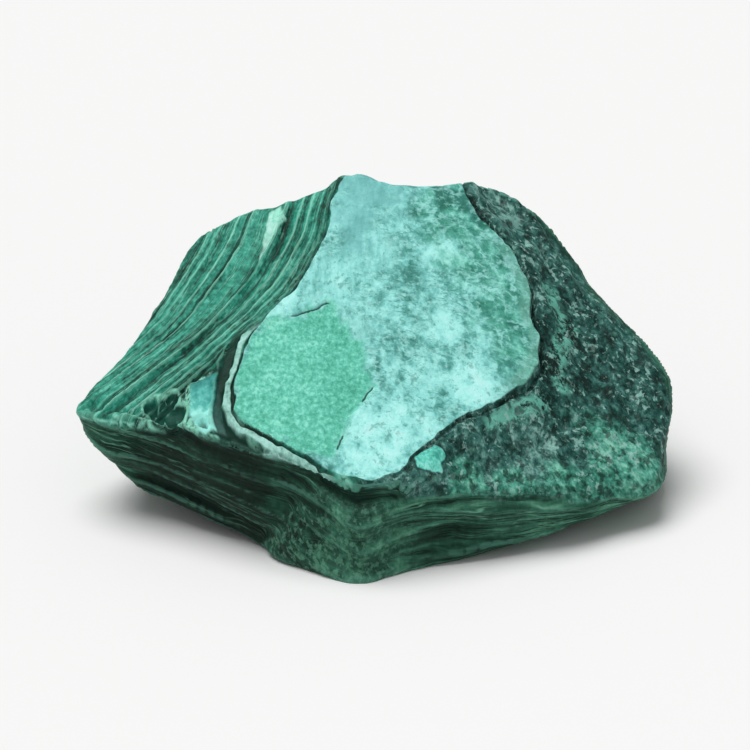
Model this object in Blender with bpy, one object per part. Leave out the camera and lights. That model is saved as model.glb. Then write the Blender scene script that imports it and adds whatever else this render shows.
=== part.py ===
"""Rough malachite: one broken lump of layered stone that rests on its flat underside.

The stone grew in thin beds laid one over another, and every bed has the same arched shape. The smooth
plateau on top, the ribs on the left flank and the ledges round the sides are all cuts through that one
pile of beds. Sizes are in millimetres, measured from the tip of the foot at the front, with +X to the
right, +Y to the back and +Z up. The finished mesh is moved to the middle of its box and scaled to metres.
"""

import itertools
import math

import bmesh
import bpy
import numpy as np
from mathutils import Matrix, Vector

MM = 0.001
ORIGIN = Vector((0.5, 17.1, 0.0))  # middle of the stone's box on the ground

# Beds: the height of the top bed over a point of the ground
BED_HEIGHT = 6.77
BED_CLIMB = 0.577  # rise for each millimetre to the back
BED_FALL = 0.10  # fall for each millimetre to the right
BED_ARCH = 0.0075  # fall to both sides, for each square millimetre
BED_WANDER = ((6.0, 0.25, 21),)  # slow waves in the beds: size across, height, seed

# Broken faces round the block: a point on the face, the bearing it looks to, its lean back and the
# radius of its edges. Bearings run from +X towards +Y; a face with a lean below 0 overhangs.
SIDE_FACES = {
    "front": ((9.0, 4.4, 5.5), -77, 2, 0.8),
    "front right": ((19.5, 7.7, 4.5), -68, -4, 1.0),
    "right": ((25.2, 13.0, 4.5), 2, 3, 2.4),
    "right shoulder": ((22.6, 22.0, 11.6), 4, 44, 1.2),
    "back right": ((20.6, 25.6, 14.4), 34, 10, 1.0),
    "back corner": ((17.2, 29.8, 18.6), 56, 6, 1.0),
    "back": ((11.5, 31.5, 21.6), 82, 8, 0.8),
    "back left": ((-7.0, 28.9, 20.8), 101, 5, 0.6),
    "left": ((-19.8, 21.6, 12.0), 140, 0, 0.6),
    "front left": ((-11.6, 6.8, 9.5), -117, -6, 0.6),
}
# Hollow flakes broken out of the sides: the middle and radius of the hollow, its height against a
# ball (0 for a straight flute) and the radius of its edge
SCOOPS = {
    "left flank": ((-48.2, 43.9, 14.0), 37.6, 0.0, 0.4),
    "back notch": ((4.4, 38.0, 25.0), 9.4, 0.8, 0.5),
}
# Broken faces underneath, given by a point, a bearing and the slope of the face from the level
UNDER_FACES = {
    "under the wing": ((-7.5, 12.0, 0.0), 184, 11),
    "under the tip": ((-19.5, 12.0, 2.0), 176, 48),
    "under the right corner": ((6.5, 3.5, 0.0), -50, 20),
    "under the back": ((0.0, 28.5, 0.0), 84, 34),
}
UNDER_EDGE = 1.2
UNDER_SWELL = 0.7  # share of the surface's swells that the underside has

# Foot: the prow at the front that stands out under the plateau's tongue
FOOT_FACES = {
    "foot left": ((-7.8, 4.0, 1.0), -168, 22, 0.6),
    "foot front left": ((-3.4, 1.2, 0.5), -121, 12, 1.4),
    "foot front right": ((3.1, 1.8, 0.5), -62, 12, 1.4),
    "foot right": ((9.5, 5.0, 1.0), -10, 38, 2.0),
}
FOOT_TOP_LAYER = -1.7  # the foot's top lies this far from the top bed
FOOT_TOP_EDGE = 0.7
FOOT_SWELL = 0.8  # share of the surface's swells that the foot has
FOOT_BACK = 12.0  # the foot ends here, inside the block
FOOT_FILLET = 0.6  # radius of the hollow corner between foot and block

# How far the broken faces stand in (above 0) or out (below 0) at each depth under the top bed
LEDGES = (
    (2.0, 0.0),
    (-0.9, 0.0),
    (-1.2, 0.45),
    (-2.5, 0.45),
    (-2.9, -0.35),
    (-3.9, -0.15),
    (-4.3, 0.45),
    (-5.8, 0.35),
    (-6.2, -0.35),
    (-7.9, -0.2),
    (-8.3, 0.5),
    (-10.2, 0.4),
    (-10.7, -0.4),
    (-13.0, -0.1),
    (-13.5, 0.5),
    (-16.0, 0.3),
    (-16.5, -0.4),
    (-24.0, 0.0),
)
LEDGE_SHARE = 0.65  # the ledges are this strong on average
LEDGE_WAVES = ((7.0, 0.35, 5),)  # and grow and fade along their length by this: size, share, seed

# Plateau: the outline of the top bed seen from above, from the tongue up the left side to the peak,
# and from the peak down the right side back to the tongue
PLATEAU_LEFT = (
    (-0.3, 2.8),
    (-2.7, 3.2),
    (-6.1, 5.1),
    (-8.9, 6.4),
    (-10.6, 7.4),
    (-11.1, 9.0),
    (-10.9, 11.5),
    (-10.2, 13.6),
    (-9.2, 15.6),
    (-7.2, 17.5),
    (-5.8, 19.0),
    (-4.4, 21.5),
    (-3.3, 23.8),
    (-2.9, 26.6),
    (-2.0, 28.7),
    (-1.2, 31.0),
)
PLATEAU_RIGHT = (
    (-1.2, 31.0),
    (7.2, 31.0),
    (8.5, 28.1),
    (10.2, 26.2),
    (12.0, 24.7),
    (12.8, 23.1),
    (13.8, 21.7),
    (13.7, 19.5),
    (14.4, 18.0),
    (14.6, 16.3),
    (13.7, 13.9),
    (11.6, 12.0),
    (9.6, 10.4),
    (7.5, 9.0),
    (5.5, 6.9),
    (3.6, 5.2),
    (2.9, 3.4),
    (-0.3, 2.8),
)
TOP_EDGE = 0.5  # radius of the edge between the top and the broken sides
TOP_SWELL = 0.25  # share of the surface's swells that the top has

# Wing: the ribbed slope that steps down from the plateau's left edge to the left flank
WING_TOP_DROP = 0.5  # depth of its highest step under the top bed
WING_FULL_DROP = 4.0  # and of its lowest
WING_STEPS = 5
WING_RISER = 0.4  # share of each step across the wing that is its riser
WING_CREST = 0.4  # height of the sharp rib along the edge of each step
WING_EDGE_WIDTH = 0.7  # width of the slope from the plateau down to the first step
PATCH = ((-14.6, 9.0), (-13.8, 11.6), (-12.6, 10.6), (-12.2, 7.4), (-13.2, 7.2))
PATCH_DROP = 1.2  # depth of the small flat patch between the ribs and the plateau
PATCH_EDGE = (0.2, 1.0)  # the patch's flat ends and the ribs are whole at these distances

# Margin: the lower, darker ground to the right of the plateau
MARGIN_STEP = 1.2  # height of the plateau's right edge over the margin
MARGIN_STEP_WIDTH = 0.8
MARGIN_TILT = 0.04  # further fall of the margin for each millimetre to the right
MARGIN_LUMPS = ((2.1, 0.16, 31), (1.1, 0.1, 32))
MARGIN_BLEND = 0.6  # half the width over which wing and margin run into each other

# Swells and lumps over the whole surface: size across, height, seed
SWELLS = (
    (9.0, 0.55, 3),
    (3.6, 0.28, 8),
)

# Making the skin: a rough block is cut, given even cells and laid on the stone's surface, twice
BLOCK_SIZE = 80.0
BLOCK_FLOOR = -2.0
FIRST_CELL = 1.2
FINE_CELL = 0.36
SETTLE_STEPS = 8
SETTLE_REACH = 0.7  # furthest that a corner moves in one step
PROBE = 0.04  # half the distance over which the slope of the surface is measured
LEAST_SLOPE = 0.25  # square of the flattest slope that a corner is moved along
EASE_STEPS = 2
EASE_SHARE = 0.5
CUT_SNAP = 1e-5
TRIANGLES = 9400

COLOUR = (0.07, 0.25, 0.18, 1.0)
ROUGHNESS = 0.62


def bed_height(x, y):
    """Height of the top bed over a point of the ground."""
    return BED_HEIGHT + BED_CLIMB * y - BED_FALL * x - BED_ARCH * x * x


def smooth_max(a, b, radius):
    """The larger of two fields, with the edge between them rounded off."""
    blend = np.clip(radius - np.abs(a - b), 0.0, None)
    return np.maximum(a, b) + blend * blend / (4.0 * radius)


def smooth_min(a, b, radius):
    return -smooth_max(-a, -b, radius)


def ramp(value, low, high):
    """0 below low, 1 above high and a soft rise between."""
    part = np.clip((value - low) / (high - low), 0.0, 1.0)
    return part * part * (3.0 - 2.0 * part)


def noise(points, size, seed):
    """Smooth noise between -1 and 1, whose lumps are about `size` across."""
    scaled = points / size
    cell = np.floor(scaled).astype(np.int64)
    part = scaled - cell
    part = part * part * (3.0 - 2.0 * part)
    total = np.zeros(len(points))
    for corner in itertools.product((0, 1), repeat=3):
        mixed = (cell + corner) @ np.array((374761393, 668265263, 974711)) + seed * 1442695
        mixed = ((mixed ^ (mixed >> 13)) * 1274126177) & 0x7FFFFFFF
        value = ((mixed ^ (mixed >> 16)) & 0xFFFF) / 32768.0 - 1.0
        weight = np.prod(np.where(corner, part, 1.0 - part), axis=1)
        total += weight * value
    return total


def lumps(points, waves):
    """Sum of several noises, each given by its size across, its height and its seed."""
    return sum(height * noise(points, size, seed) for size, height, seed in waves)


def distance_to_line(x, y, line):
    """Distance in plan from each point to a chain of straight pieces."""
    nearest = np.full(len(x), np.inf)
    for (ax, ay), (bx, by) in zip(line, line[1:]):
        ex, ey = bx - ax, by - ay
        along = np.clip(((x - ax) * ex + (y - ay) * ey) / (ex * ex + ey * ey), 0.0, 1.0)
        nearest = np.minimum(nearest, np.hypot(x - ax - along * ex, y - ay - along * ey))
    return nearest


def inside_outline(x, y, outline):
    """True for points in plan that lie inside a closed outline."""
    inside = np.zeros(len(x), bool)
    for (ax, ay), (bx, by) in zip(outline, outline[1:] + outline[:1]):
        if ay != by:
            crosses = (ay > y) != (by > y)
            inside ^= crosses & (x < ax + (bx - ax) * (y - ay) / (by - ay))
    return inside


def face_normal(bearing, lean):
    """Outward normal of a face that looks to a bearing and leans back, in degrees."""
    turn, tilt = math.radians(bearing), math.radians(lean)
    return np.array((
        math.cos(tilt) * math.cos(turn),
        math.cos(tilt) * math.sin(turn),
        math.sin(tilt),
    ))


def wing_drop(x, y, to_left):
    """Depth of the ribbed wing under the top bed, at a distance to the left of the plateau."""
    (edge_x, edge_y, _), edge_radius, _, _ = SCOOPS["left flank"]
    to_edge = np.maximum(np.hypot(x - edge_x, y - edge_y) - edge_radius, 0.0)
    across = (WING_STEPS - WING_RISER) * to_left / (to_left + to_edge)
    on_step = across - np.floor(across)
    tread = 1.0 - WING_RISER
    riser = ramp(on_step, tread, 1.0)
    step_height = (WING_FULL_DROP - WING_TOP_DROP) / (WING_STEPS - 1)
    crest = WING_CREST * ramp(on_step, 0.0, tread) * (1.0 - riser)
    drop = WING_TOP_DROP + step_height * (np.floor(across) + riser) - crest

    to_patch = np.where(inside_outline(x, y, PATCH), 0.0, distance_to_line(x, y, PATCH + PATCH[:1]))
    on_patch = 1.0 - ramp(to_patch, *PATCH_EDGE)
    return drop + on_patch * (PATCH_DROP - drop)


def top_height(x, y):
    """Height of the stone's top: plateau, ribbed wing on its left and lower margin on its right."""
    to_left = distance_to_line(x, y, PLATEAU_LEFT)
    to_right = distance_to_line(x, y, PLATEAU_RIGHT)
    outline = PLATEAU_LEFT[:-1] + PLATEAU_RIGHT[:-1]
    outside = np.where(inside_outline(x, y, outline), 0.0, np.minimum(to_left, to_right))

    wing = wing_drop(x, y, to_left) * ramp(outside, 0.0, WING_EDGE_WIDTH)
    margin = MARGIN_STEP + MARGIN_TILT * x + lumps(np.stack((x, y, 0.0 * x), 1), MARGIN_LUMPS)
    margin = margin * ramp(outside, 0.0, MARGIN_STEP_WIDTH)
    on_wing = ramp(to_right - to_left, -MARGIN_BLEND, MARGIN_BLEND)
    return bed_height(x, y) - on_wing * wing - (1.0 - on_wing) * margin


def broken_sides(points, faces, ledge):
    """Field of the block inside its upright broken faces, whose edges are rounded."""
    field = np.full(len(points), -np.inf)
    for spot, bearing, lean, radius in faces.values():
        away = (points - spot) @ face_normal(bearing, lean) + ledge
        field = smooth_max(field, away, radius)
    return field


def stone_field(points):
    """Below 0 inside the stone, above 0 outside, and about the distance in millimetres near it."""
    x, y, z = points.T
    swell = lumps(points, SWELLS)
    depth = z - bed_height(x, y) + lumps(points, BED_WANDER)
    ledge_at, ledge_in = np.array(LEDGES[::-1]).T
    ledge_strength = LEDGE_SHARE + lumps(points, LEDGE_WAVES)
    ledge = np.interp(depth, ledge_at, ledge_in) * ledge_strength + swell

    bed_tilt = math.atan(BED_CLIMB)
    top = (z - top_height(x, y)) * math.cos(bed_tilt) + TOP_SWELL * swell
    block = smooth_max(broken_sides(points, SIDE_FACES, ledge), top, TOP_EDGE)
    for middle, radius, roundness, edge in SCOOPS.values():
        off = (points - middle) * (1.0, 1.0, roundness)
        hollow = radius - np.linalg.norm(off, axis=1) + ledge
        block = smooth_max(block, hollow, edge)

    foot_top = z - bed_height(x, y) - FOOT_TOP_LAYER
    foot_sides = broken_sides(points, FOOT_FACES, FOOT_SWELL * swell)
    foot = smooth_max(foot_sides, foot_top, FOOT_TOP_EDGE)
    foot = np.maximum(foot, y - FOOT_BACK)
    stone = smooth_min(block, foot, FOOT_FILLET)

    for spot, bearing, slope in UNDER_FACES.values():
        under = (points - spot) @ face_normal(bearing, slope - 90.0) + UNDER_SWELL * swell
        stone = smooth_max(stone, under, UNDER_EDGE)
    return stone


def settle(points):
    """Moves points along the field's slope until they lie on the stone's surface."""
    for _ in range(SETTLE_STEPS):
        here = stone_field(points)
        slope = np.empty_like(points)
        for axis, offset in enumerate(np.eye(3) * PROBE):
            rise = stone_field(points + offset) - stone_field(points - offset)
            slope[:, axis] = rise / (2.0 * PROBE)
        steep = np.maximum((slope * slope).sum(axis=1), LEAST_SLOPE)
        move = slope * (here / steep)[:, None]
        length = np.linalg.norm(move, axis=1, keepdims=True)
        points = points - move * np.minimum(1.0, SETTLE_REACH / np.maximum(length, 1e-9))
    return points


def cut_block():
    """A plain block cut along the plane of every broken face, the first rough form of the stone."""
    block = bmesh.new()
    bmesh.ops.create_cube(block, size=BLOCK_SIZE)
    bmesh.ops.translate(block, verts=block.verts, vec=ORIGIN)
    top_normal = Vector((BED_FALL, -BED_CLIMB, 1.0))
    cuts = [
        ((0.0, 0.0, BED_HEIGHT), top_normal),
        ((0.0, 0.0, BLOCK_FLOOR), (0.0, 0.0, -1.0)),
    ]
    for spot, bearing, lean, _ in SIDE_FACES.values():
        cuts.append((spot, face_normal(bearing, lean)))
    for spot, bearing, slope in UNDER_FACES.values():
        cuts.append((spot, face_normal(bearing, slope - 90.0)))
    for spot, normal in cuts:
        geometry = block.verts[:] + block.edges[:] + block.faces[:]
        cut = bmesh.ops.bisect_plane(
            block, geom=geometry, plane_co=spot, plane_no=normal, clear_outer=True
        )
        edges = [item for item in cut["geom_cut"] if isinstance(item, bmesh.types.BMEdge)]
        bmesh.ops.contextual_create(block, geom=edges)
    return block


def remeshed(shape, cell):
    """The same closed shape with an even skin of small faces."""
    mesh = bpy.data.meshes.new("skin")
    shape.to_mesh(mesh)
    shape.free()
    holder = bpy.data.objects.new("skin", mesh)
    bpy.context.collection.objects.link(holder)
    skin = holder.modifiers.new("Skin", "REMESH")
    skin.mode = "VOXEL"
    skin.voxel_size = cell
    bpy.context.view_layer.update()
    graph = bpy.context.evaluated_depsgraph_get()
    even = bmesh.new()
    even.from_object(holder, graph)
    bpy.data.objects.remove(holder)
    bpy.data.meshes.remove(mesh)
    return even


def settle_shape(shape):
    """Lays every corner of a shape on the stone's surface and takes out the jags between its cells."""
    points = settle(np.array([vert.co for vert in shape.verts], float))
    for vert, point in zip(shape.verts, points):
        vert.co = point
    for _ in range(EASE_STEPS):
        bmesh.ops.smooth_vert(
            shape,
            verts=shape.verts,
            factor=EASE_SHARE,
            use_axis_x=True,
            use_axis_y=True,
            use_axis_z=True,
        )


def thinned(shape, triangles):
    """The shape with faces merged where it is flat, down to a number of triangles."""
    bmesh.ops.triangulate(shape, faces=shape.faces)
    mesh = bpy.data.meshes.new("thin")
    shape.to_mesh(mesh)
    share = triangles / len(shape.faces)
    shape.free()
    holder = bpy.data.objects.new("thin", mesh)
    bpy.context.collection.objects.link(holder)
    collapse = holder.modifiers.new("Collapse", "DECIMATE")
    collapse.ratio = min(1.0, share)
    bpy.context.view_layer.update()
    graph = bpy.context.evaluated_depsgraph_get()
    thin = bmesh.new()
    thin.from_object(holder, graph)
    bpy.data.objects.remove(holder)
    bpy.data.meshes.remove(mesh)
    return thin


def flatten_base(shape):
    """Cuts the stone off level at the ground and closes the cut with one flat face."""
    geometry = shape.verts[:] + shape.edges[:] + shape.faces[:]
    cut = bmesh.ops.bisect_plane(
        shape,
        geom=geometry,
        dist=CUT_SNAP,
        plane_co=(0, 0, 0),
        plane_no=(0, 0, -1),
        clear_outer=True,
    )
    rim = [item for item in cut["geom_cut"] if isinstance(item, bmesh.types.BMEdge)]
    for edge in rim:
        for vert in edge.verts:
            vert.co.z = 0.0
    bmesh.ops.contextual_create(shape, geom=rim)
    bmesh.ops.triangulate(shape, faces=shape.faces)


def malachite_material():
    material = bpy.data.materials.new("malachite")
    material.use_nodes = True
    shader = material.node_tree.nodes["Principled BSDF"]
    shader.inputs["Base Color"].default_value = COLOUR
    shader.inputs["Roughness"].default_value = ROUGHNESS
    shader.inputs["Metallic"].default_value = 0.0
    return material


def build_stone():
    shape = remeshed(cut_block(), FIRST_CELL)
    settle_shape(shape)
    shape = remeshed(shape, FINE_CELL)
    settle_shape(shape)
    shape = thinned(shape, TRIANGLES)
    flatten_base(shape)
    shape.transform(Matrix.Scale(MM, 4) @ Matrix.Translation(-ORIGIN))
    mesh = bpy.data.meshes.new("stone")
    shape.to_mesh(mesh)
    shape.free()
    stone = bpy.data.objects.new("stone", mesh)
    stone.data.materials.append(malachite_material())
    bpy.context.collection.objects.link(stone)
    return stone


def main():
    for old in list(bpy.data.objects):
        bpy.data.objects.remove(old)
    build_stone()


main()
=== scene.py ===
# %% [markdown]
# # Rough malachite
# Malachite grows as thin beds of copper carbonate, one skin over another, light and dark in turn.
# When a lump is broken, the break either follows one bed, which leaves a smooth plateau, or cuts
# across the pile, which leaves ribs and ledges. This lesson dresses one such stone: first the fine
# skin is made from the plain solid in the frame, then the layers are painted through it.

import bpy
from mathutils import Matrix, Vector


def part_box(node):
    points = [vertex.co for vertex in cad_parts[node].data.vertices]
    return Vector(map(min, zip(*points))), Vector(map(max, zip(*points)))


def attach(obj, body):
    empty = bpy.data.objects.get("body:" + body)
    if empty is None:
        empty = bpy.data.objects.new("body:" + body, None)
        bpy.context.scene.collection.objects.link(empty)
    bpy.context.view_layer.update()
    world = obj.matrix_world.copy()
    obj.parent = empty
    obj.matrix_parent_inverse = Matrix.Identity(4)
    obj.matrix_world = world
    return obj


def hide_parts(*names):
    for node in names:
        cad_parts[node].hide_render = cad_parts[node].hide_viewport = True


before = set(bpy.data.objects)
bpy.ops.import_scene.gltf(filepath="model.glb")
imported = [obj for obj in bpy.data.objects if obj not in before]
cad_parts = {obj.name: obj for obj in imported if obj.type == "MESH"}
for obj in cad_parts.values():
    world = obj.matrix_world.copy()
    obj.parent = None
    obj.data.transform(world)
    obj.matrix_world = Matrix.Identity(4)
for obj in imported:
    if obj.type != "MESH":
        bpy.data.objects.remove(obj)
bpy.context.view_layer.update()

# %% [markdown]
# The stone is small, so all of its shaping is done in millimetres, measured from the tip of the foot
# at the front. One pair of functions goes from the frame's metres to these and back.

# %% Units and helpers
import itertools
import math

import bmesh
import bpy
import numpy as np
from mathutils import Vector

METRES_TO_MM = 1000.0
ORIGIN = np.array((0.5, 17.1, 0.0))  # the frame's origin, seen from the foot's tip


def to_mm(points):
    return np.asarray(points, float) * METRES_TO_MM + ORIGIN


def to_metres(points):
    return (points - ORIGIN) / METRES_TO_MM


def ramp(value, low, high):
    """0 below low, 1 above high and a soft rise between."""
    part = np.clip((value - low) / (high - low), 0.0, 1.0)
    return part * part * (3.0 - 2.0 * part)


# %% [markdown]
# Stone is never even. Lattice noise gives soft random lumps of a chosen size: each corner of a
# grid gets a random height from its own number, and the heights are blended between the corners.
# Because the number comes from the corner's place, the same stone comes out on every run.

# %% Noise
LATTICE = np.array((374761393, 668265263, 974711))


def noise(points, size, seed):
    """Smooth noise between -1 and 1, whose lumps are about `size` across."""
    scaled = points / size
    cell = np.floor(scaled).astype(np.int64)
    part = scaled - cell
    part = part * part * (3.0 - 2.0 * part)
    total = np.zeros(len(points))
    for corner in itertools.product((0, 1), repeat=3):
        mixed = (cell + corner) @ LATTICE + seed * 1442695
        mixed = ((mixed ^ (mixed >> 13)) * 1274126177) & 0x7FFFFFFF
        value = ((mixed ^ (mixed >> 16)) & 0xFFFF) / 32768.0 - 1.0
        weight = np.prod(np.where(corner, part, 1.0 - part), axis=1)
        total += weight * value
    return total


def lumps(points, waves):
    """Sum of several noises, each given by its size across, its height and its seed."""
    return sum(height * noise(points, size, seed) for size, height, seed in waves)


# %% [markdown]
# All beds have one shape: they climb to the back, fall a little to the right and arch down to
# both sides. `layer_of` says how far under the top bed a point lies, which is the one number that
# nearly everything else hangs on: where a ledge juts out and which green it shows.

# %% Beds
BED_HEIGHT = 6.77
BED_CLIMB = 0.577
BED_FALL = 0.10
BED_ARCH = 0.0075
BED_WANDER = ((6.0, 0.25, 21),)


def bed_height(x, y):
    """Height of the top bed over a point of the ground."""
    return BED_HEIGHT + BED_CLIMB * y - BED_FALL * x - BED_ARCH * x * x


def layer_of(points):
    """Height over the top bed, below 0 inside the stone."""
    return points[:, 2] - bed_height(points[:, 0], points[:, 1]) + lumps(points, BED_WANDER)


# %% [markdown]
# On the top, three outlines matter: the smooth plateau, the patch of plain green in its lower left
# and a small blue flake between the plateau and the ribs. Each is drawn with few points, then its
# corners are cut twice, which is how a soft curve is made from a straight one.

# %% Outlines on the top
PLATEAU_LEFT = (
    (-0.3, 2.8), (-2.7, 3.2), (-6.1, 5.1), (-8.9, 6.4), (-10.6, 7.4), (-11.1, 9.0), (-10.9, 11.5),
    (-10.2, 13.6), (-9.2, 15.6), (-7.2, 17.5), (-5.8, 19.0), (-4.4, 21.5), (-3.3, 23.8),
    (-2.9, 26.6), (-2.0, 28.7), (-1.2, 31.0),
)
PLATEAU_RIGHT = (
    (-1.2, 31.0), (7.2, 31.0), (8.5, 28.1), (10.2, 26.2), (12.0, 24.7), (12.8, 23.1),
    (13.8, 21.7), (13.7, 19.5), (14.4, 18.0), (14.6, 16.3), (13.7, 13.9), (11.6, 12.0),
    (9.6, 10.4), (7.5, 9.0), (5.5, 6.9), (3.6, 5.2), (2.9, 3.4), (-0.3, 2.8),
)
GREEN_PATCH = (
    (-10.6, 6.6), (-11.1, 9.0), (-11.0, 11.3), (-10.2, 13.6), (-9.2, 15.6), (-6.7, 16.5),
    (-4.8, 16.9), (-3.3, 17.7), (-2.0, 16.1), (-0.7, 14.1), (0.7, 11.4), (-0.3, 9.5),
    (-1.4, 7.7), (-2.2, 5.7), (-3.1, 3.9),
)
BLUE_FLAKE = ((-14.7, 12.2), (-12.7, 12.7), (-12.0, 9.4), (-11.8, 7.2), (-13.5, 7.9), (-14.8, 9.6))
PALE_FACET = ((-6.9, 26.4), (-7.3, 27.8), (-8.5, 27.7), (-8.7, 25.5), (-9.1, 22.8), (-8.2, 24.4))
SMALL_CHIP = (
    (4.0, 4.1), (3.9, 5.0), (4.8, 5.9), (5.6, 6.5), (6.4, 6.2), (5.9, 5.4), (6.2, 4.7), (5.2, 4.3),
)
STREAKS = (
    ((17.0, 21.0), (16.3, 19.0), (15.9, 16.6), (16.2, 15.0)),
    ((10.4, 9.6), (12.6, 11.3), (15.0, 13.0)),
    ((15.4, 22.9), (16.3, 21.4)),
)


def softened(line, closed=False):
    """The line with its corners cut twice."""
    for _ in range(2):
        ends = line + line[:1] if closed else line
        cut = []
        for (ax, ay), (bx, by) in zip(ends, ends[1:]):
            cut.append((0.75 * ax + 0.25 * bx, 0.75 * ay + 0.25 * by))
            cut.append((0.25 * ax + 0.75 * bx, 0.25 * ay + 0.75 * by))
        line = tuple(cut) if closed else line[:1] + tuple(cut) + line[-1:]
    return line


def distance_to_line(x, y, line):
    """Distance in plan from each point to a chain of straight pieces."""
    nearest = np.full(len(x), np.inf)
    for (ax, ay), (bx, by) in zip(line, line[1:]):
        ex, ey = bx - ax, by - ay
        along = np.clip(((x - ax) * ex + (y - ay) * ey) / (ex * ex + ey * ey), 0.0, 1.0)
        nearest = np.minimum(nearest, np.hypot(x - ax - along * ex, y - ay - along * ey))
    return nearest


def inside_outline(x, y, outline):
    """True for points in plan that lie inside a closed outline."""
    inside = np.zeros(len(x), bool)
    for (ax, ay), (bx, by) in zip(outline, outline[1:] + outline[:1]):
        if ay != by:
            crosses = (ay > y) != (by > y)
            inside ^= crosses & (x < ax + (bx - ax) * (y - ay) / (by - ay))
    return inside


def signed_distance(x, y, outline):
    """Distance in plan to a closed outline, below 0 inside it."""
    away = distance_to_line(x, y, outline + outline[:1])
    return np.where(inside_outline(x, y, outline), -away, away)


LEFT_RIM = softened(PLATEAU_LEFT)
RIGHT_RIM = softened(PLATEAU_RIGHT)
PATCH_RIM = softened(GREEN_PATCH, closed=True)
print("points in the plateau's rim:", len(LEFT_RIM) + len(RIGHT_RIM))

# %% [markdown]
# The solid in the frame was made by cutting a block along broken faces. The same faces are used
# here again, as one formula: it is below 0 inside the stone and above 0 outside. A mesh of any
# fineness can then be laid on it, and it can't drift away from the solid.

# %% Broken faces: a point on the face, the bearing it looks to, its lean back, its edge radius
SIDE_FACES = {
    "front": ((9.0, 4.4, 5.5), -77, 2, 0.8),
    "front right": ((19.5, 7.7, 4.5), -68, -4, 1.0),
    "right": ((25.2, 13.0, 4.5), 2, 3, 2.4),
    "right shoulder": ((22.6, 22.0, 11.6), 4, 44, 1.2),
    "back right": ((20.6, 25.6, 14.4), 34, 10, 1.0),
    "back corner": ((17.2, 29.8, 18.6), 56, 6, 1.0),
    "back": ((11.5, 31.5, 21.6), 82, 8, 0.8),
    "back left": ((-7.0, 28.9, 20.8), 101, 5, 0.6),
    "left": ((-19.8, 21.6, 12.0), 140, 0, 0.6),
    "front left": ((-11.6, 6.8, 9.5), -117, -6, 0.6),
}
FOOT_FACES = {
    "foot left": ((-7.8, 4.0, 1.0), -168, 22, 0.6),
    "foot front left": ((-3.4, 1.2, 0.5), -121, 12, 1.4),
    "foot front right": ((3.1, 1.8, 0.5), -62, 12, 1.4),
    "foot right": ((9.5, 5.0, 1.0), -10, 38, 2.0),
}
UNDER_FACES = {
    "under the wing": ((-7.5, 12.0, 0.0), 184, -79, 1.2),
    "under the tip": ((-19.5, 12.0, 2.0), 176, -42, 1.2),
    "under the right corner": ((6.5, 3.5, 0.0), -50, -70, 1.2),
    "under the back": ((0.0, 28.5, 0.0), 84, -56, 1.2),
}
UNDER_SWELL = 0.7
FOOT_TOP_LAYER = -1.7
FOOT_TOP_EDGE = 0.7
FOOT_SWELL = 0.8
FOOT_BACK = 12.0
FOOT_FILLET = 0.6

# Flakes broken out of the sides: middle, radius, roundness (0 for a straight flute), edge radius
LEFT_FLANK = ((-48.2, 43.9, 14.0), 37.6, 0.0, 0.4)
BACK_NOTCH = ((4.4, 38.0, 25.0), 9.4, 0.8, 0.5)

# How far the broken faces stand in (above 0) or out (below 0) at each layer
LEDGES = (
    (2.0, 0.0), (-0.9, 0.0), (-1.2, 0.45), (-2.5, 0.45), (-2.9, -0.35), (-3.9, -0.15),
    (-4.3, 0.45), (-5.8, 0.35), (-6.2, -0.35), (-7.9, -0.2), (-8.3, 0.5), (-10.2, 0.4),
    (-10.7, -0.4), (-13.0, -0.1), (-13.5, 0.5), (-16.0, 0.3), (-16.5, -0.4), (-24.0, 0.0),
)
LEDGE_SHARE = 0.65
LEDGE_WAVES = ((7.0, 0.35, 5),)
SWELLS = ((9.0, 0.55, 3), (3.6, 0.28, 8))
TOP_EDGE = 0.5
TOP_SWELL = 0.25

# %% [markdown]
# The top is a height over the ground. For the first pass it is kept plain: the plateau on its bed,
# a slope for the ribbed wing on the left and a step down to the rough margin on the right. The
# ribs and grooves come later, when the mesh has enough corners to hold them.

# %% Height of the top
WING_TOP_DROP = 0.5
WING_FULL_DROP = 4.0
WING_EDGE_WIDTH = 0.7
FLAKE_DROP = 1.2
FLAKE_EDGE = (0.2, 1.0)
MARGIN_STEP = 1.2
MARGIN_STEP_WIDTH = 0.8
MARGIN_TILT = 0.04
MARGIN_BLEND = 0.6


def wing_share(x, y):
    """0 at the plateau's left rim and 1 at the outer edge of the wing."""
    (edge_x, edge_y, _), edge_radius, _, _ = LEFT_FLANK
    to_rim = distance_to_line(x, y, LEFT_RIM)
    to_edge = np.maximum(np.hypot(x - edge_x, y - edge_y) - edge_radius, 0.0)
    return to_rim / (to_rim + to_edge)


def plain_drop(x, y):
    """Depth of the plain top under the top bed."""
    to_left = distance_to_line(x, y, LEFT_RIM)
    to_right = distance_to_line(x, y, RIGHT_RIM)
    outline = LEFT_RIM[:-1] + RIGHT_RIM[:-1]
    outside = np.where(inside_outline(x, y, outline), 0.0, np.minimum(to_left, to_right))
    wing = WING_TOP_DROP + (WING_FULL_DROP - WING_TOP_DROP) * wing_share(x, y)
    on_flake = 1.0 - ramp(signed_distance(x, y, BLUE_FLAKE), *FLAKE_EDGE)
    wing = (wing + on_flake * (FLAKE_DROP - wing)) * ramp(outside, 0.0, WING_EDGE_WIDTH)
    margin = (MARGIN_STEP + MARGIN_TILT * x) * ramp(outside, 0.0, MARGIN_STEP_WIDTH)
    on_wing = ramp(to_right - to_left, -MARGIN_BLEND, MARGIN_BLEND)
    return on_wing * wing + (1.0 - on_wing) * margin


# %% [markdown]
# Two bodies make the stone: the block with its broken sides, and the foot under its front corner.
# To cut one field by another is to take the larger of the two, and to join them is to take the
# smaller. A little blend where two fields are nearly equal rounds the edge, as wear does.

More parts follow.
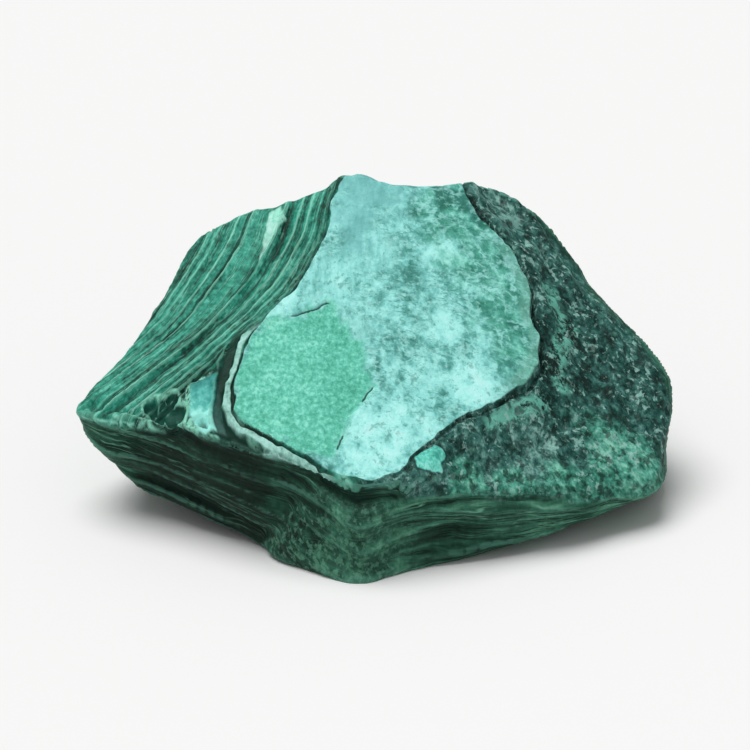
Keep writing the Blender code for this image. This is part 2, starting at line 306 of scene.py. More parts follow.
# %% The whole stone as one formula
def smooth_max(a, b, radius):
    """The larger of two fields, with the edge between them rounded off."""
    blend = np.clip(radius - np.abs(a - b), 0.0, None)
    return np.maximum(a, b) + blend * blend / (4.0 * radius)


def face_normal(bearing, lean):
    """Outward normal of a face that looks to a bearing and leans back, in degrees."""
    turn, tilt = math.radians(bearing), math.radians(lean)
    flat = math.cos(tilt)
    return np.array((flat * math.cos(turn), flat * math.sin(turn), math.sin(tilt)))


def cut_by(field, points, faces, swell):
    """A field cut further by flat faces with rounded edges."""
    for spot, bearing, lean, radius in faces.values():
        away = (points - spot) @ face_normal(bearing, lean) + swell
        field = smooth_max(field, away, radius)
    return field


def stone_parts(points):
    """Fields of the top, of the broken sides and of the whole stone, and how much is foot."""
    x, y, z = points.T
    swell = lumps(points, SWELLS)
    ledge_at, ledge_in = np.array(LEDGES[::-1]).T
    ledge = np.interp(layer_of(points), ledge_at, ledge_in)
    ledge = ledge * (LEDGE_SHARE + lumps(points, LEDGE_WAVES)) + swell
    nothing = np.full(len(points), -1e3)

    top_height = bed_height(x, y) - plain_drop(x, y)
    top = (z - top_height) * math.cos(math.atan(BED_CLIMB)) + TOP_SWELL * swell
    sides = cut_by(nothing, points, SIDE_FACES, ledge)
    for middle, radius, roundness, edge in (LEFT_FLANK, BACK_NOTCH):
        off = (points - middle) * (1.0, 1.0, roundness)
        sides = smooth_max(sides, radius - np.linalg.norm(off, axis=1) + ledge, edge)
    block = smooth_max(sides, top, TOP_EDGE)

    foot_top = z - bed_height(x, y) - FOOT_TOP_LAYER
    foot = smooth_max(cut_by(nothing, points, FOOT_FACES, FOOT_SWELL * swell), foot_top, FOOT_TOP_EDGE)
    foot = np.maximum(foot, y - FOOT_BACK)
    stone = -smooth_max(-block, -foot, FOOT_FILLET)
    return top, sides, cut_by(stone, points, UNDER_FACES, UNDER_SWELL * swell), block - foot


def slope_of(points, here, probe=0.04):
    """How the stone's field changes along X, Y and Z."""
    slope = np.empty_like(points)
    for axis, offset in enumerate(np.eye(3) * probe):
        slope[:, axis] = (stone_parts(points + offset)[2] - here) / probe
    return slope


# %% [markdown]
# Blender's voxel remesh turns the solid's long thin triangles into an even skin of small squares.
# Each corner is then moved along the formula's slope until it lies on the stone.

# %% An even skin
SKIN_CELL = 0.38
SETTLE_REACH = 0.5
LEAST_SLOPE = 0.25


def evaluated_copy(mesh, kind, **settings):
    """The mesh after one modifier, as a new mesh."""
    holder = bpy.data.objects.new("holder", mesh)
    bpy.context.scene.collection.objects.link(holder)
    modifier = holder.modifiers.new(kind, kind)
    for name, value in settings.items():
        setattr(modifier, name, value)
    bpy.context.view_layer.update()
    graph = bpy.context.evaluated_depsgraph_get()
    made = bpy.data.meshes.new_from_object(holder.evaluated_get(graph))
    bpy.data.objects.remove(holder)
    return made


def corners(mesh):
    points = np.empty(len(mesh.vertices) * 3)
    mesh.vertices.foreach_get("co", points)
    return points.reshape(-1, 3)


def set_corners(mesh, points):
    mesh.vertices.foreach_set("co", points.astype(np.float32).ravel())
    mesh.update()


def settle(points, steps):
    """Moves points along the field's slope until they lie on the stone's surface."""
    for _ in range(steps):
        here = stone_parts(points)[2]
        slope = slope_of(points, here)
        steep = np.maximum((slope * slope).sum(axis=1), LEAST_SLOPE)
        move = slope * (here / steep)[:, None]
        length = np.linalg.norm(move, axis=1, keepdims=True)
        points = points - move * np.minimum(1.0, SETTLE_REACH / np.maximum(length, 1e-9))
    return points


def on_ground(points):
    """The points with none below the ground, which makes the flat underside."""
    return np.column_stack((points[:, :2], np.maximum(points[:, 2], 0.0)))


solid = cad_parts["stone"].data.copy()
set_corners(solid, to_mm(corners(solid)))
skin = evaluated_copy(solid, "REMESH", mode="VOXEL", voxel_size=SKIN_CELL)
set_corners(skin, on_ground(settle(corners(skin), 4)))
print("even skin:", len(skin.polygons), "squares of", SKIN_CELL, "mm")

# %% [markdown]
# Ribs, grooves and the rim need smaller squares than the plain parts. Only the faces of the top
# outside the plateau, its rim and the broken front are split in four, so the whole stone stays
# light enough to share.

# %% Smaller squares where the detail is
RIM_BAND = 0.9
PATCH_BAND = 0.4
TOP_BAND = 0.8
FRONT_SLOPE = -0.35
RIM_SPLIT = (-0.25, 1.2)


def plateau_distance(x, y):
    """Distance in plan to the plateau's rim, below 0 on the plateau."""
    return signed_distance(x, y, LEFT_RIM[:-1] + RIGHT_RIM[:-1])


def needs_detail(centres, normals):
    """True for the faces whose squares are split."""
    x, y, _ = centres.T
    top, sides, _, _ = stone_parts(centres)
    on_top = top - sides > -TOP_BAND
    far_from_patch = np.abs(signed_distance(x, y, PATCH_RIM)) > PATCH_BAND
    plain = (plateau_distance(x, y) < -RIM_BAND) & far_from_patch
    front = (normals[:, 1] < FRONT_SLOPE) & ~on_top
    return (on_top & ~plain) | front


def split_faces(mesh, chosen):
    """The mesh with the chosen squares split in four."""
    shape = bmesh.new()
    shape.from_mesh(mesh)
    shape.faces.ensure_lookup_table()
    edges = {edge for index in np.flatnonzero(chosen) for edge in shape.faces[index].edges}
    bmesh.ops.subdivide_edges(shape, edges=list(edges), cuts=1, use_grid_fill=True)
    bmesh.ops.triangulate(shape, faces=[face for face in shape.faces if len(face.verts) > 4])
    shape.to_mesh(mesh)
    shape.free()


def near_rim(centres):
    """True for the faces along the plateau's rim, which are split once more."""
    x, y, _ = centres.T
    rim = plateau_distance(x, y)
    top, sides, _, _ = stone_parts(centres)
    return (rim > RIM_SPLIT[0]) & (rim < RIM_SPLIT[1]) & (top - sides > 0.0)


def face_values(mesh, name):
    values = np.empty(len(mesh.polygons) * 3)
    mesh.polygons.foreach_get(name, values)
    return values.reshape(-1, 3)


split_faces(skin, needs_detail(face_values(skin, "center"), face_values(skin, "normal")))
split_faces(skin, near_rim(face_values(skin, "center")))
set_corners(skin, on_ground(settle(corners(skin), 2)))
skin.calc_loop_triangles()
print("skin with detail:", len(skin.loop_triangles), "triangles")

# %% [markdown]
# Seen from close by, the plateau's left rim is a double line: a thin groove, a pale ledge and a
# wider dark groove. Its right rim is a plain step with a crevice at its foot. Both are profiles
# over the distance to the rim. The rim itself is made to wander a little, as a chipped edge does,
# and a hair crack opens in three places where the green patch meets the turquoise skin.

# %% Rim of the plateau
CHIPS = ((2.4, 0.16, 40), (1.2, 0.15, 41), (0.5, 0.09, 42))
DOUBLE_RIM = (
    (0.0, 0.0), (0.08, 0.40), (0.22, 0.40), (0.32, 0.18), (0.74, 0.24), (0.86, 0.95), (1.1, 1.2),
    (1.7, 1.2), (2.1, 0.8),
)
PLAIN_RIM = ((0.0, 0.0), (0.2, 0.45), (0.6, 0.9), (0.9, 0.7))
DOUBLE_END = (14.5, 17.0)  # the double line fades out between these depths
TONGUE_FADE = (-2.0, -4.0)  # and between these places on its way to the tongue
STEP_AT_RIM = (
    (3.0, 0.06), (6.0, 0.10), (9.0, 0.16), (12.5, 0.45), (17.0, 0.8), (22.0, 0.6), (26.0, 0.2),
)
CREVICE_AT_RIM = ((3.5, 0.1), (6.0, 0.45), (10.0, 0.6), (14.0, 1.0), (20.0, 1.0), (27.0, 0.3))
CREVICE = ((0.0, 0.0), (0.08, 0.1), (0.16, 0.4), (0.28, 0.4), (0.5, 0.0))
MARGIN_REACH = (0.5, 4.0)
PATCH_RECESS = 0.14
PATCH_EDGE = (-0.4, 0.2)
PATCH_CRACK = ((0.0, 0.16), (0.06, 0.14), (0.16, 0.0))
CRACK_SPOTS = (((-4.9, 17.0), 2.1), ((-0.1, 10.0), 0.9), ((-2.2, 5.6), 0.8))
PLAIN_RIM_SHARE = 0.9


def profile(at, table):
    """Value read from a table of (place, value), with straight lines between."""
    places, values = np.array(table).T
    return np.interp(at, places, values)


def near_spots(x, y, spots):
    """1 in the middle of any of the spots, falling to 0 at its radius and below 0 beyond."""
    nearness = [1.0 - np.hypot(x - sx, y - sy) / radius for (sx, sy), radius in spots]
    return np.max(nearness, axis=0)


def chipped(x, y):
    """The place in plan, moved a little, so that outlines read there look chipped."""
    spot = np.stack((x, y, 0.0 * x), 1)
    return x + lumps(spot, CHIPS), y + lumps(spot + 50.0, CHIPS)


def margin_drop(x, y, outside):
    """Depth of the rough ground to the right of the plateau."""
    spot = np.stack((x, y, 0.0 * x), 1)
    at_rim = profile(y, STEP_AT_RIM)
    far = MARGIN_STEP + MARGIN_TILT * x
    ground = at_rim + (far - at_rim) * ramp(outside, *MARGIN_REACH)
    crevice = profile(outside, CREVICE) * profile(y, CREVICE_AT_RIM)
    crevice *= 0.8 + 0.5 * noise(spot, 2.4, 44)
    return ground * ramp(outside, 0.0, 0.2) + crevice


# %% [markdown]
# The wing is cut across a dozen beds. Hard ones stand up as sharp ribs and soft ones are worn into
# grooves, so its cross-section is drawn as one line. At the back the ribs follow the plateau's
# rim. In front they swing out to the tip, so there a rib's place across is shifted.

# %% Ribs of the wing
RIB_PROFILE = (  # place across the wing, from the plateau to the outer edge, and height there
    (0.0, 0.0), (0.03, -0.3), (0.06, 0.1), (0.09, -0.12), (0.12, 0.12), (0.15, -0.06),
    (0.185, 0.32), (0.225, -0.04), (0.265, 0.22), (0.30, -0.1), (0.345, -0.22), (0.395, 0.42),
    (0.43, -0.16), (0.52, -0.02), (0.60, 0.06), (0.635, 0.22), (0.665, -0.3), (0.70, 0.0),
    (0.735, 0.26), (0.80, -0.12), (0.855, 0.24), (0.895, -0.12), (0.93, 0.12), (0.965, -0.2),
    (1.0, 0.0),
)
RIB_BEND = ((7.0, 0.022, 51), (2.6, 0.006, 52))
RIB_TURN = 0.072  # how fast the ribs swing out, per millimetre
RIB_TURN_FROM = (17.2, 21.5)  # where they start to, at the plateau and at the outer edge
RIB_TURN_EASE = 3.0
RIB_WAVES = ((4.0, 0.35, 53), (1.1, 0.25, 54))  # how the ribs grow and break along their length
RIB_FADE = 0.4  # ribs get lower towards the back edge, between these depths
RIB_FADE_RUN = (22.0, 29.0)
RIB_RUN = (0.79, 0.61)  # the way that the ribs run, seen from above
RIBS_ACROSS = 12.0
HAIR_LENGTH = 9.0
HAIR_RIBS = ((0.7, 0.07, 55), (0.4, 0.05, 56))
CALM_EDGE = (-1.4, -0.2)  # the ribs get lower towards the broken sides, between these distances


def rib_place(x, y, z):
    """Place across the wing, 0 at the plateau and 1 at the outer edge, measured along the ribs."""
    share = wing_share(x, y)
    near, far = RIB_TURN_FROM
    turn = np.maximum(near + (far - near) * share - y, 0.0)
    drift = RIB_TURN * turn * turn / (turn + RIB_TURN_EASE)
    wander = lumps(np.stack((x, y, z), 1), RIB_BEND)
    return np.clip(share + wander - drift, 0.0, 1.0)


def wing_drop(x, y, z, sides):
    """Depth of the ribbed wing under the top bed."""
    place = rib_place(x, y, z)
    down = (WING_FULL_DROP - WING_TOP_DROP) * wing_share(x, y)
    spot = np.stack((x, y, place * RIBS_ACROSS), 1)
    rise = profile(place, RIB_PROFILE) * np.clip(0.9 + lumps(spot, RIB_WAVES), 0.2, 1.4)
    run = (RIB_RUN[0] * x + RIB_RUN[1] * y) / HAIR_LENGTH
    rise += lumps(np.stack((place * RIBS_ACROSS, run, 0.0 * x), 1), HAIR_RIBS)
    rise *= (1.0 - RIB_FADE * ramp(y, *RIB_FADE_RUN)) * (1.0 - 0.8 * ramp(sides, *CALM_EDGE))
    return WING_TOP_DROP + down - rise


# %% [markdown]
# Along its front edge the wing ends in a thin lip that curls up, broken and pitted, where the
# hard outer beds have splintered. It is a low wall at the edge with a row of pits behind it, the
# deepest of them beside the blue flake.

# %% Lip of the wing
LIP_WALL = ((-0.3, 0.1), (0.0, 0.36), (0.26, 0.30), (0.55, -0.1), (1.1, 0.0))
LIP_PITS = ((0.4, 0.0), (0.7, 0.45), (1.3, 0.4), (2.0, 0.0))
DEEP_PITS = (((-15.9, 10.2), 0.9), ((-16.9, 10.9), 1.0), ((-17.9, 11.7), 0.7), ((-16.2, 11.6), 0.6))
DEEP_PIT = 0.7
LIP_ENDS = (-3.0, -6.0)
PIT_ENDS = (-10.5, -13.0)


def lip_rise(x, y, z):
    """Height of the lip over the wing, below 0 in its pits."""
    spot = np.stack((x, y, z), 1)
    face, bearing, lean, _ = SIDE_FACES["front left"]
    inward = -(spot - face) @ face_normal(bearing, lean)
    wall = profile(inward, LIP_WALL) * (0.7 + 0.8 * noise(spot, 1.4, 57))
    pits = profile(inward, LIP_PITS) * ramp(noise(spot, 1.25, 58), -0.1, 0.5)
    pits += DEEP_PIT * ramp(near_spots(*chipped(x, y), DEEP_PITS), 0.0, 0.35)
    return wall * ramp(x, *LIP_ENDS) - pits * ramp(x, *PIT_ENDS)


def carved_drop(x, y, z, sides):
    """Depth of the finished top under the top bed."""
    lip = lip_rise(x, y, z)
    wing = wing_drop(x, y, z, sides)
    x, y = chipped(x, y)
    to_left = distance_to_line(x, y, LEFT_RIM)
    to_right = distance_to_line(x, y, RIGHT_RIM)
    rim = plateau_distance(x, y)
    outside = np.maximum(rim, 0.0)

    on_flake = 1.0 - ramp(signed_distance(x, y, BLUE_FLAKE), 0.0, 0.4)
    wing = wing + on_flake * (FLAKE_DROP - wing) - lip
    double = (1.0 - ramp(y, *DOUBLE_END)) * ramp(x, *TONGUE_FADE)
    plain = PLAIN_RIM_SHARE * profile(outside, PLAIN_RIM) * ramp(x, *TONGUE_FADE)
    rim_line = double * profile(outside, DOUBLE_RIM) + (1.0 - double) * plain
    rim_end = DOUBLE_RIM[-1][0] * double + PLAIN_RIM[-1][0] * (1.0 - double)
    wing = rim_line + (wing - rim_line) * ramp(outside, rim_end - 0.2, rim_end + 0.3)
    on_wing = ramp(to_right - to_left, -MARGIN_BLEND, MARGIN_BLEND)
    outer = on_wing * wing + (1.0 - on_wing) * margin_drop(x, y, outside)
    to_patch = signed_distance(x, y, PATCH_RIM)
    patch = PATCH_RECESS * (1.0 - ramp(to_patch, *PATCH_EDGE))
    crack = profile(np.abs(to_patch), PATCH_CRACK) * ramp(near_spots(x, y, CRACK_SPOTS), 0.0, 0.3)
    return np.where(rim > 0.0, outer, patch + crack)


# %% [markdown]
# The carving is laid on the skin straight up and down, and only as far as a corner belongs to the
# top: near the broken sides it fades out, so the stone's edges stay where they are.

# %% Carve the top
TOP_FADE = (-0.5, 0.0)
points = corners(skin)
top, sides, _, _ = stone_parts(points)
on_top = ramp(top - sides, *TOP_FADE)
x, y, z = points.T
points[:, 2] += on_top * (plain_drop(x, y) - carved_drop(x, y, z, sides))
set_corners(skin, on_ground(points))
print("carved", int((on_top > 0.5).sum()), "corners of the top")

# %% [markdown]
# The broken sides show the same beds end on. Each bed stands out or in by a tenth of a millimetre,
# and fades along its length, so the noise for them is read in a space where the two directions
# along the bed are squeezed: lumps there become long thin ledges here. The faces that look down
# are worn smooth first, by letting their corners sag towards each other.

# %% Ledges and grain on the sides
BED_STRETCH = 9.0
FINE_LEDGES = ((1.2, 0.20, 61), (0.6, 0.13, 62), (0.34, 0.05, 60))
LEDGE_SHARPNESS = 2.6
ROUGH_GRAIN = ((1.8, 0.09, 63), (0.7, 0.06, 64))
MARGIN_GRAIN = ((2.2, 0.16, 65), (1.1, 0.16, 66), (0.55, 0.10, 67))
WING_GRAIN = ((0.9, 0.07, 68), (0.45, 0.04, 69))
PLATEAU_GRAIN = ((3.5, 0.05, 70), (0.8, 0.02, 71))
UNDER_SLOPE = (0.3, 0.7)  # how far a face must look down to be worn smooth
UNDER_PASSES = 5


def smoothed(mesh, points, passes):
    """The corners after each has moved to the middle of its neighbours, several times."""
    ends = np.empty(len(mesh.edges) * 2, np.int32)
    mesh.edges.foreach_get("vertices", ends)
    first, second = ends.reshape(-1, 2).T
    count = np.bincount(ends, minlength=len(points))
    for _ in range(passes):
        total = np.empty_like(points)
        for axis in range(3):
            column = points[:, axis]
            total[:, axis] = np.bincount(first, column[second], len(points))
            total[:, axis] += np.bincount(second, column[first], len(points))
        points = 0.5 * points + 0.5 * total / count[:, None]
    return points


def along_beds(points):
    """The points in a space where beds are flat and squeezed along their length."""
    layer = layer_of(points)
    return np.column_stack((points[:, :2] / BED_STRETCH, layer))


def fine_ledges(points):
    """Beds that stand out or in, with sharp edges between them."""
    squeezed = along_beds(points)
    return sum(height * np.tanh(LEDGE_SHARPNESS * noise(squeezed, size, seed))
               for size, height, seed in FINE_LEDGES)


def normals_of(mesh):
    values = np.empty(len(mesh.vertices) * 3)
    mesh.vertex_normals.foreach_get("vector", values)
    return values.reshape(-1, 3)


points = corners(skin)
under = ramp(-normals_of(skin)[:, 2], *UNDER_SLOPE)
points += under[:, None] * (smoothed(skin, points, UNDER_PASSES) - points)
set_corners(skin, on_ground(points))
x, y, z = points.T
top, sides, _, _ = stone_parts(points)
on_top = ramp(top - sides, *TOP_FADE)
cx, cy = chipped(x, y)
rim = plateau_distance(cx, cy)
on_wing = ramp(distance_to_line(cx, cy, RIGHT_RIM) - distance_to_line(cx, cy, LEFT_RIM), -0.6, 0.6)
off_plateau = ramp(rim, 0.1, 0.6)
grain = (1.0 - on_top) * (1.0 - 0.7 * under) * (fine_ledges(points) + lumps(points, ROUGH_GRAIN))
grain += on_top * off_plateau * (1.0 - on_wing) * lumps(points, MARGIN_GRAIN)
grain += on_top * off_plateau * on_wing * lumps(points, WING_GRAIN)
grain += on_top * (1.0 - off_plateau) * lumps(points, PLATEAU_GRAIN)
set_corners(skin, on_ground(points + normals_of(skin) * grain[:, None]))
skin.calc_loop_triangles()
print("grain of", round(np.abs(grain).max(), 2), "mm at most;", len(skin.loop_triangles), "triangles")

# %% [markdown]
# Colour follows the form: highlights are painted on the crests and shade is painted into the hollows.
# How far a corner stands over its neighbours is measured here against a copy of the skin that has
# sagged smooth, with a few passes for fine relief and more for broad relief.

# %% Measure the relief
FINE_PASSES = 4
BROAD_PASSES = 30


points = corners(skin)
facing = normals_of(skin)
fine_relief = ((points - smoothed(skin, points, FINE_PASSES)) * facing).sum(1)
broad_relief = ((points - smoothed(skin, points, BROAD_PASSES)) * facing).sum(1)
print("fine relief, mm:", np.percentile(fine_relief, (2, 50, 98)).round(3))
print("broad relief, mm:", np.percentile(broad_relief, (2, 50, 98)).round(3))

# %% [markdown]
# What the material has to know about a place is stored at each corner: the distance to each
# outline, the place across the ribs, the layer and the relief. The shader reads them by name.
# Distances are stored rather than finished masks, because a distance stays exact between corners
# and a mask blurs. Loose areas are given by a few round spots, and noise frays them later.

# %% Store the places for the material
SKY_SPOTS = (((-0.2, 27.8), 4.0), ((-1.0, 24.6), 3.0))
LEAF_SPOTS = (((6.8, 26.2), 3.4), ((9.8, 23.0), 4.4), ((11.8, 19.4), 4.4), ((12.8, 16.0), 3.0))
FIBRE_SPOTS = (((-3.0, 19.5), 3.6), ((-1.5, 15.5), 2.6), ((0.5, 22.5), 2.6))
GREEN_SPOTS = (((22.6, 9.8), 4.6), ((8.0, 4.9), 1.7), ((12.5, 5.9), 1.8), ((17.0, 7.2), 2.4))
FOOT_SHARE = (0.0, 0.7)  # how far the foot must stand out to show its own mottled finish
FOOT_X = (1.0, 5.0)
# How much lighter (above 0) or darker a place is than the rest, from its own tone and, under the wing, from
# painted shade: place, radius, amount
LIGHTER_AND_DARKER = (
    ((0.4, 5.2), 3.4, 0.13), ((3.6, 7.8), 2.8, 0.11), ((0.8, 8.4), 2.4, 0.09),
    ((8.8, 12.2), 2.8, 0.15), ((6.4, 16.7), 2.2, 0.12), ((6.5, 22.9), 2.0, 0.11),
    ((5.0, 12.0), 2.6, 0.06), ((-3.0, 18.5), 3.0, 0.08), ((-7.0, 17.0), 2.2, 0.09),
    ((-2.6, 25.0), 1.6, 0.12), ((0.6, 15.7), 1.8, -0.05), ((4.6, 25.6), 2.6, -0.05),
    ((3.2, 14.6), 2.6, -0.03),
    ((6.6, 28.1), 1.3, -0.20), ((8.3, 27.8), 1.3, -0.20), ((9.6, 26.9), 1.2, -0.14),
    ((3.4, 19.8), 2.4, -0.05), ((11.0, 28.8), 3.2, 0.13), ((15.0, 25.5), 2.6, 0.04),
    ((18.5, 19.0), 5.0, -0.04), ((15.3, 16.5), 1.6, -0.08), ((22.0, 10.0), 5.0, 0.07),
    ((15.0, 7.6), 3.4, 0.06), ((12.8, 9.6), 3.6, 0.04), ((10.0, 6.4), 3.0, 0.04), ((-0.5, 2.3), 1.8, -0.08),
    ((1.0, 0.5), 7.0, 0.05), ((-14.0, 7.0), 9.0, -0.12), ((-5.0, 3.6), 3.0, -0.05),
)


def tone_and_shade_of(x, y):
    """How much lighter or darker each point is than the rest of its finish, partly painted shade."""
    total = np.zeros(len(x))
    for (sx, sy), radius, amount in LIGHTER_AND_DARKER:
        total += amount * ramp(1.0 - np.hypot(x - sx, y - sy) / radius, 0.0, 0.6)
    return total


def store(mesh, name, values):
    """Keeps one number for each corner under a name that the shader can read."""
    attribute = mesh.attributes.new(name, "FLOAT", "POINT")
    attribute.data.foreach_set("value", values.astype(np.float32))


x, y, z = points.T
top, sides, _, foot = stone_parts(points)
cx, cy = chipped(x, y)
to_right = distance_to_line(cx, cy, RIGHT_RIM)
to_left = distance_to_line(cx, cy, LEFT_RIM)
on_top = ramp(top - sides, -0.8, -0.2)
beds = skin.attributes.new("beds", "FLOAT_VECTOR", "POINT")
beds.data.foreach_set("vector", np.column_stack((x, y, layer_of(points))).astype(np.float32).ravel())
store(skin, "on_top", on_top)
store(skin, "on_wing", ramp(to_right - to_left, -0.6, 0.6))
store(skin, "double", (1.0 - ramp(y, *DOUBLE_END)) * ramp(x, *TONGUE_FADE))
store(skin, "rim", plateau_distance(cx, cy))
store(skin, "patch", signed_distance(cx, cy, PATCH_RIM))
store(skin, "crack", near_spots(cx, cy, CRACK_SPOTS))
store(skin, "flake", signed_distance(cx, cy, BLUE_FLAKE))
store(skin, "rib", rib_place(x, y, z))
store(skin, "edge", -sides)
store(skin, "fine", fine_relief)
store(skin, "broad", broad_relief)
store(skin, "sky", near_spots(x, y, SKY_SPOTS))
store(skin, "leaf", near_spots(x, y, LEAF_SPOTS))
store(skin, "fibre", near_spots(x, y, FIBRE_SPOTS))
store(skin, "green", near_spots(x, y, GREEN_SPOTS))
# how much lighter or darker each corner is: its own tone, and painted shade under the wing
store(skin, "tone_and_shade", tone_and_shade_of(x, y))
store(skin, "facet", signed_distance(cx, cy, PALE_FACET))
store(skin, "chip", signed_distance(cx, cy, SMALL_CHIP))
store(skin, "pit", near_spots(cx, cy, DEEP_PITS))
store(skin, "foot", ramp(foot, *FOOT_SHARE) * (1.0 - ramp(x, *FOOT_X)))
store(skin, "streak", np.min([distance_to_line(cx, cy, line) for line in STREAKS], axis=0))
print("stored:", ", ".join(a.name for a in skin.attributes if not a.is_internal and a.domain == "POINT"))

# %% [markdown]
# A UV map says where each face lands in one square picture, to which the colours can be baked. Six
# flat views, from the top, the bottom and the four sides, cover the stone with few seams. Each face
# goes to the view that it looks towards once the relief has been smoothed away, so the views don't
# break up into scraps. The underside is drawn at half size.

# %% A map for baking
MAP_WIDTH = 90.0
MAP_VIEWS = (  # outward direction, which way is right, which way is up, scale, lower left corner
    ((0, 0, 1), (1, 0, 0), (0, 1, 0), 1.0, (1.0, 1.0)),
    ((0, -1, 0), (1, 0, 0), (0, 0, 1), 1.0, (1.0, 37.0)),
    ((0, 1, 0), (-1, 0, 0), (0, 0, 1), 1.0, (1.0, 62.5)),
    ((1, 0, 0), (0, 0, 1), (0, 1, 0), 1.0, (53.5, 1.0)),
    ((-1, 0, 0), (0, 0, 1), (0, -1, 0), 1.0, (53.5, 37.0)),
    ((0, 0, -1), (-1, 0, 0), (0, 1, 0), 0.5, (53.5, 72.5)),
)


def add_bake_map(mesh, points, calm_points):
    """UV map of six flat views; the calm points say which view a face belongs to."""
    set_corners(mesh, calm_points)
    directions = np.array([view[0] for view in MAP_VIEWS], float)
    best = (face_values(mesh, "normal") @ directions.T).argmax(axis=1)
    set_corners(mesh, points)
    sizes = np.empty(len(mesh.polygons), np.int32)
    mesh.polygons.foreach_get("loop_total", sizes)
    loop_view = np.repeat(best, sizes)
    loop_corner = np.empty(len(mesh.loops), np.int32)
    mesh.loops.foreach_get("vertex_index", loop_corner)
    at = points[loop_corner]
    place_on_map = np.empty((len(at), 2))
    for index, (_, right, up, scale, corner) in enumerate(MAP_VIEWS):
        chosen = loop_view == index
        flat = np.column_stack((at @ right, at @ up))
        place_on_map[chosen] = corner + scale * (flat[chosen] - flat[chosen].min(axis=0))
    uv = mesh.uv_layers.new(name="OFBake")
    uv.uv.foreach_set("vector", (place_on_map / MAP_WIDTH).astype(np.float32).ravel())
    return np.bincount(best, minlength=len(MAP_VIEWS)), place_on_map.max(axis=0)


view_faces, map_reach = add_bake_map(skin, points, smoothed(skin, points, BROAD_PASSES))
print("faces in each view of the map:", view_faces, "reach, mm:", map_reach.round(1))

# %% [markdown]
# The skin becomes the piece that is shown. It takes the solid's place in the frame, with its
# materials cleared, and the solid is hidden.

# %% The stone as a piece
set_corners(skin, to_metres(points))
skin.polygons.foreach_set("use_smooth", np.ones(len(skin.polygons), bool))
skin.materials.clear()
stone = bpy.data.objects.new("malachite_stone", skin)
bpy.context.scene.collection.objects.link(stone)
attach(stone, "root")
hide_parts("stone")

# %% [markdown]
# A few short helpers keep the node work readable: `place` adds a node and joins its inputs,
# and the others are the sums and mixes that come up all the time.

# %% Node helpers
def place(tree, kind, inputs=(), **settings):
    """Adds a node, sets it up and joins or fills its inputs."""
    node = tree.nodes.new(kind)
    for name, value in settings.items():
        setattr(node, name, value)
    for name, value in dict(inputs).items():
        if isinstance(value, bpy.types.NodeSocket):
            tree.links.new(value, node.inputs[name])
        else:
            node.inputs[name].default_value = value
    return node


def maths(tree, operation, a, b=0.0, c=0.0):
    return place(tree, "ShaderNodeMath", {0: a, 1: b, 2: c}, operation=operation).outputs[0]


def spread(tree, value, low, high):
    """0 where the value is low, 1 where it is high, with a soft rise between."""
    inputs = {"Value": value, "From Min": low, "From Max": high}
    node = place(tree, "ShaderNodeMapRange", inputs, interpolation_type="SMOOTHSTEP")
    return node.outputs["Result"]


def between(tree, value, low, high, soft):
    """1 where the value lies between two limits, with soft ends."""
    rise = spread(tree, value, low - soft, low + soft)
    fall = spread(tree, value, high + soft, high - soft)
    return maths(tree, "MULTIPLY", rise, fall)


def mixed(tree, share, a, b):
    """Colour a where the share is 0 and colour b where it is 1."""
    node = place(tree, "ShaderNodeMix", {0: share, 6: a, 7: b}, data_type="RGBA")
    return node.outputs[2]


def colour(red, green, blue):
    return (red, green, blue, 1.0)


def toned(tree, value, stops):
    """Colour read from a row of (value, red, green, blue) stops."""
    node = place(tree, "ShaderNodeValToRGB", {"Fac": value})
    row = node.color_ramp.elements
    for at, *tint in stops:
        row.new(at).color = colour(*tint)
    row.remove(row[0])
    row.remove(row[len(row) - 1])
    return node.outputs["Color"]


def new_group(name, inputs, outputs):
    """An empty node group with named sockets, and its two end nodes."""
    group = bpy.data.node_groups.new(name, "ShaderNodeTree")
    for socket, kind, value in inputs:
        made = group.interface.new_socket(socket, in_out="INPUT", socket_type=kind)
        if value is not None:
            made.default_value = value
    for socket, kind in outputs:
        group.interface.new_socket(socket, in_out="OUTPUT", socket_type=kind)
    return group, group.nodes.new("NodeGroupInput"), group.nodes.new("NodeGroupOutput")


# %% [markdown]
# Speckle is what fine crystals and dust look like at arm's length: small blots with hard edges.
# One group makes it for every part of the stone, with its own size and cover each time. The
# squeeze makes the blots long along the beds, which turns speckle into layers seen end on.

# %% Speckle, as a node group
FLOAT, VECTOR = "NodeSocketFloat", "NodeSocketVector"


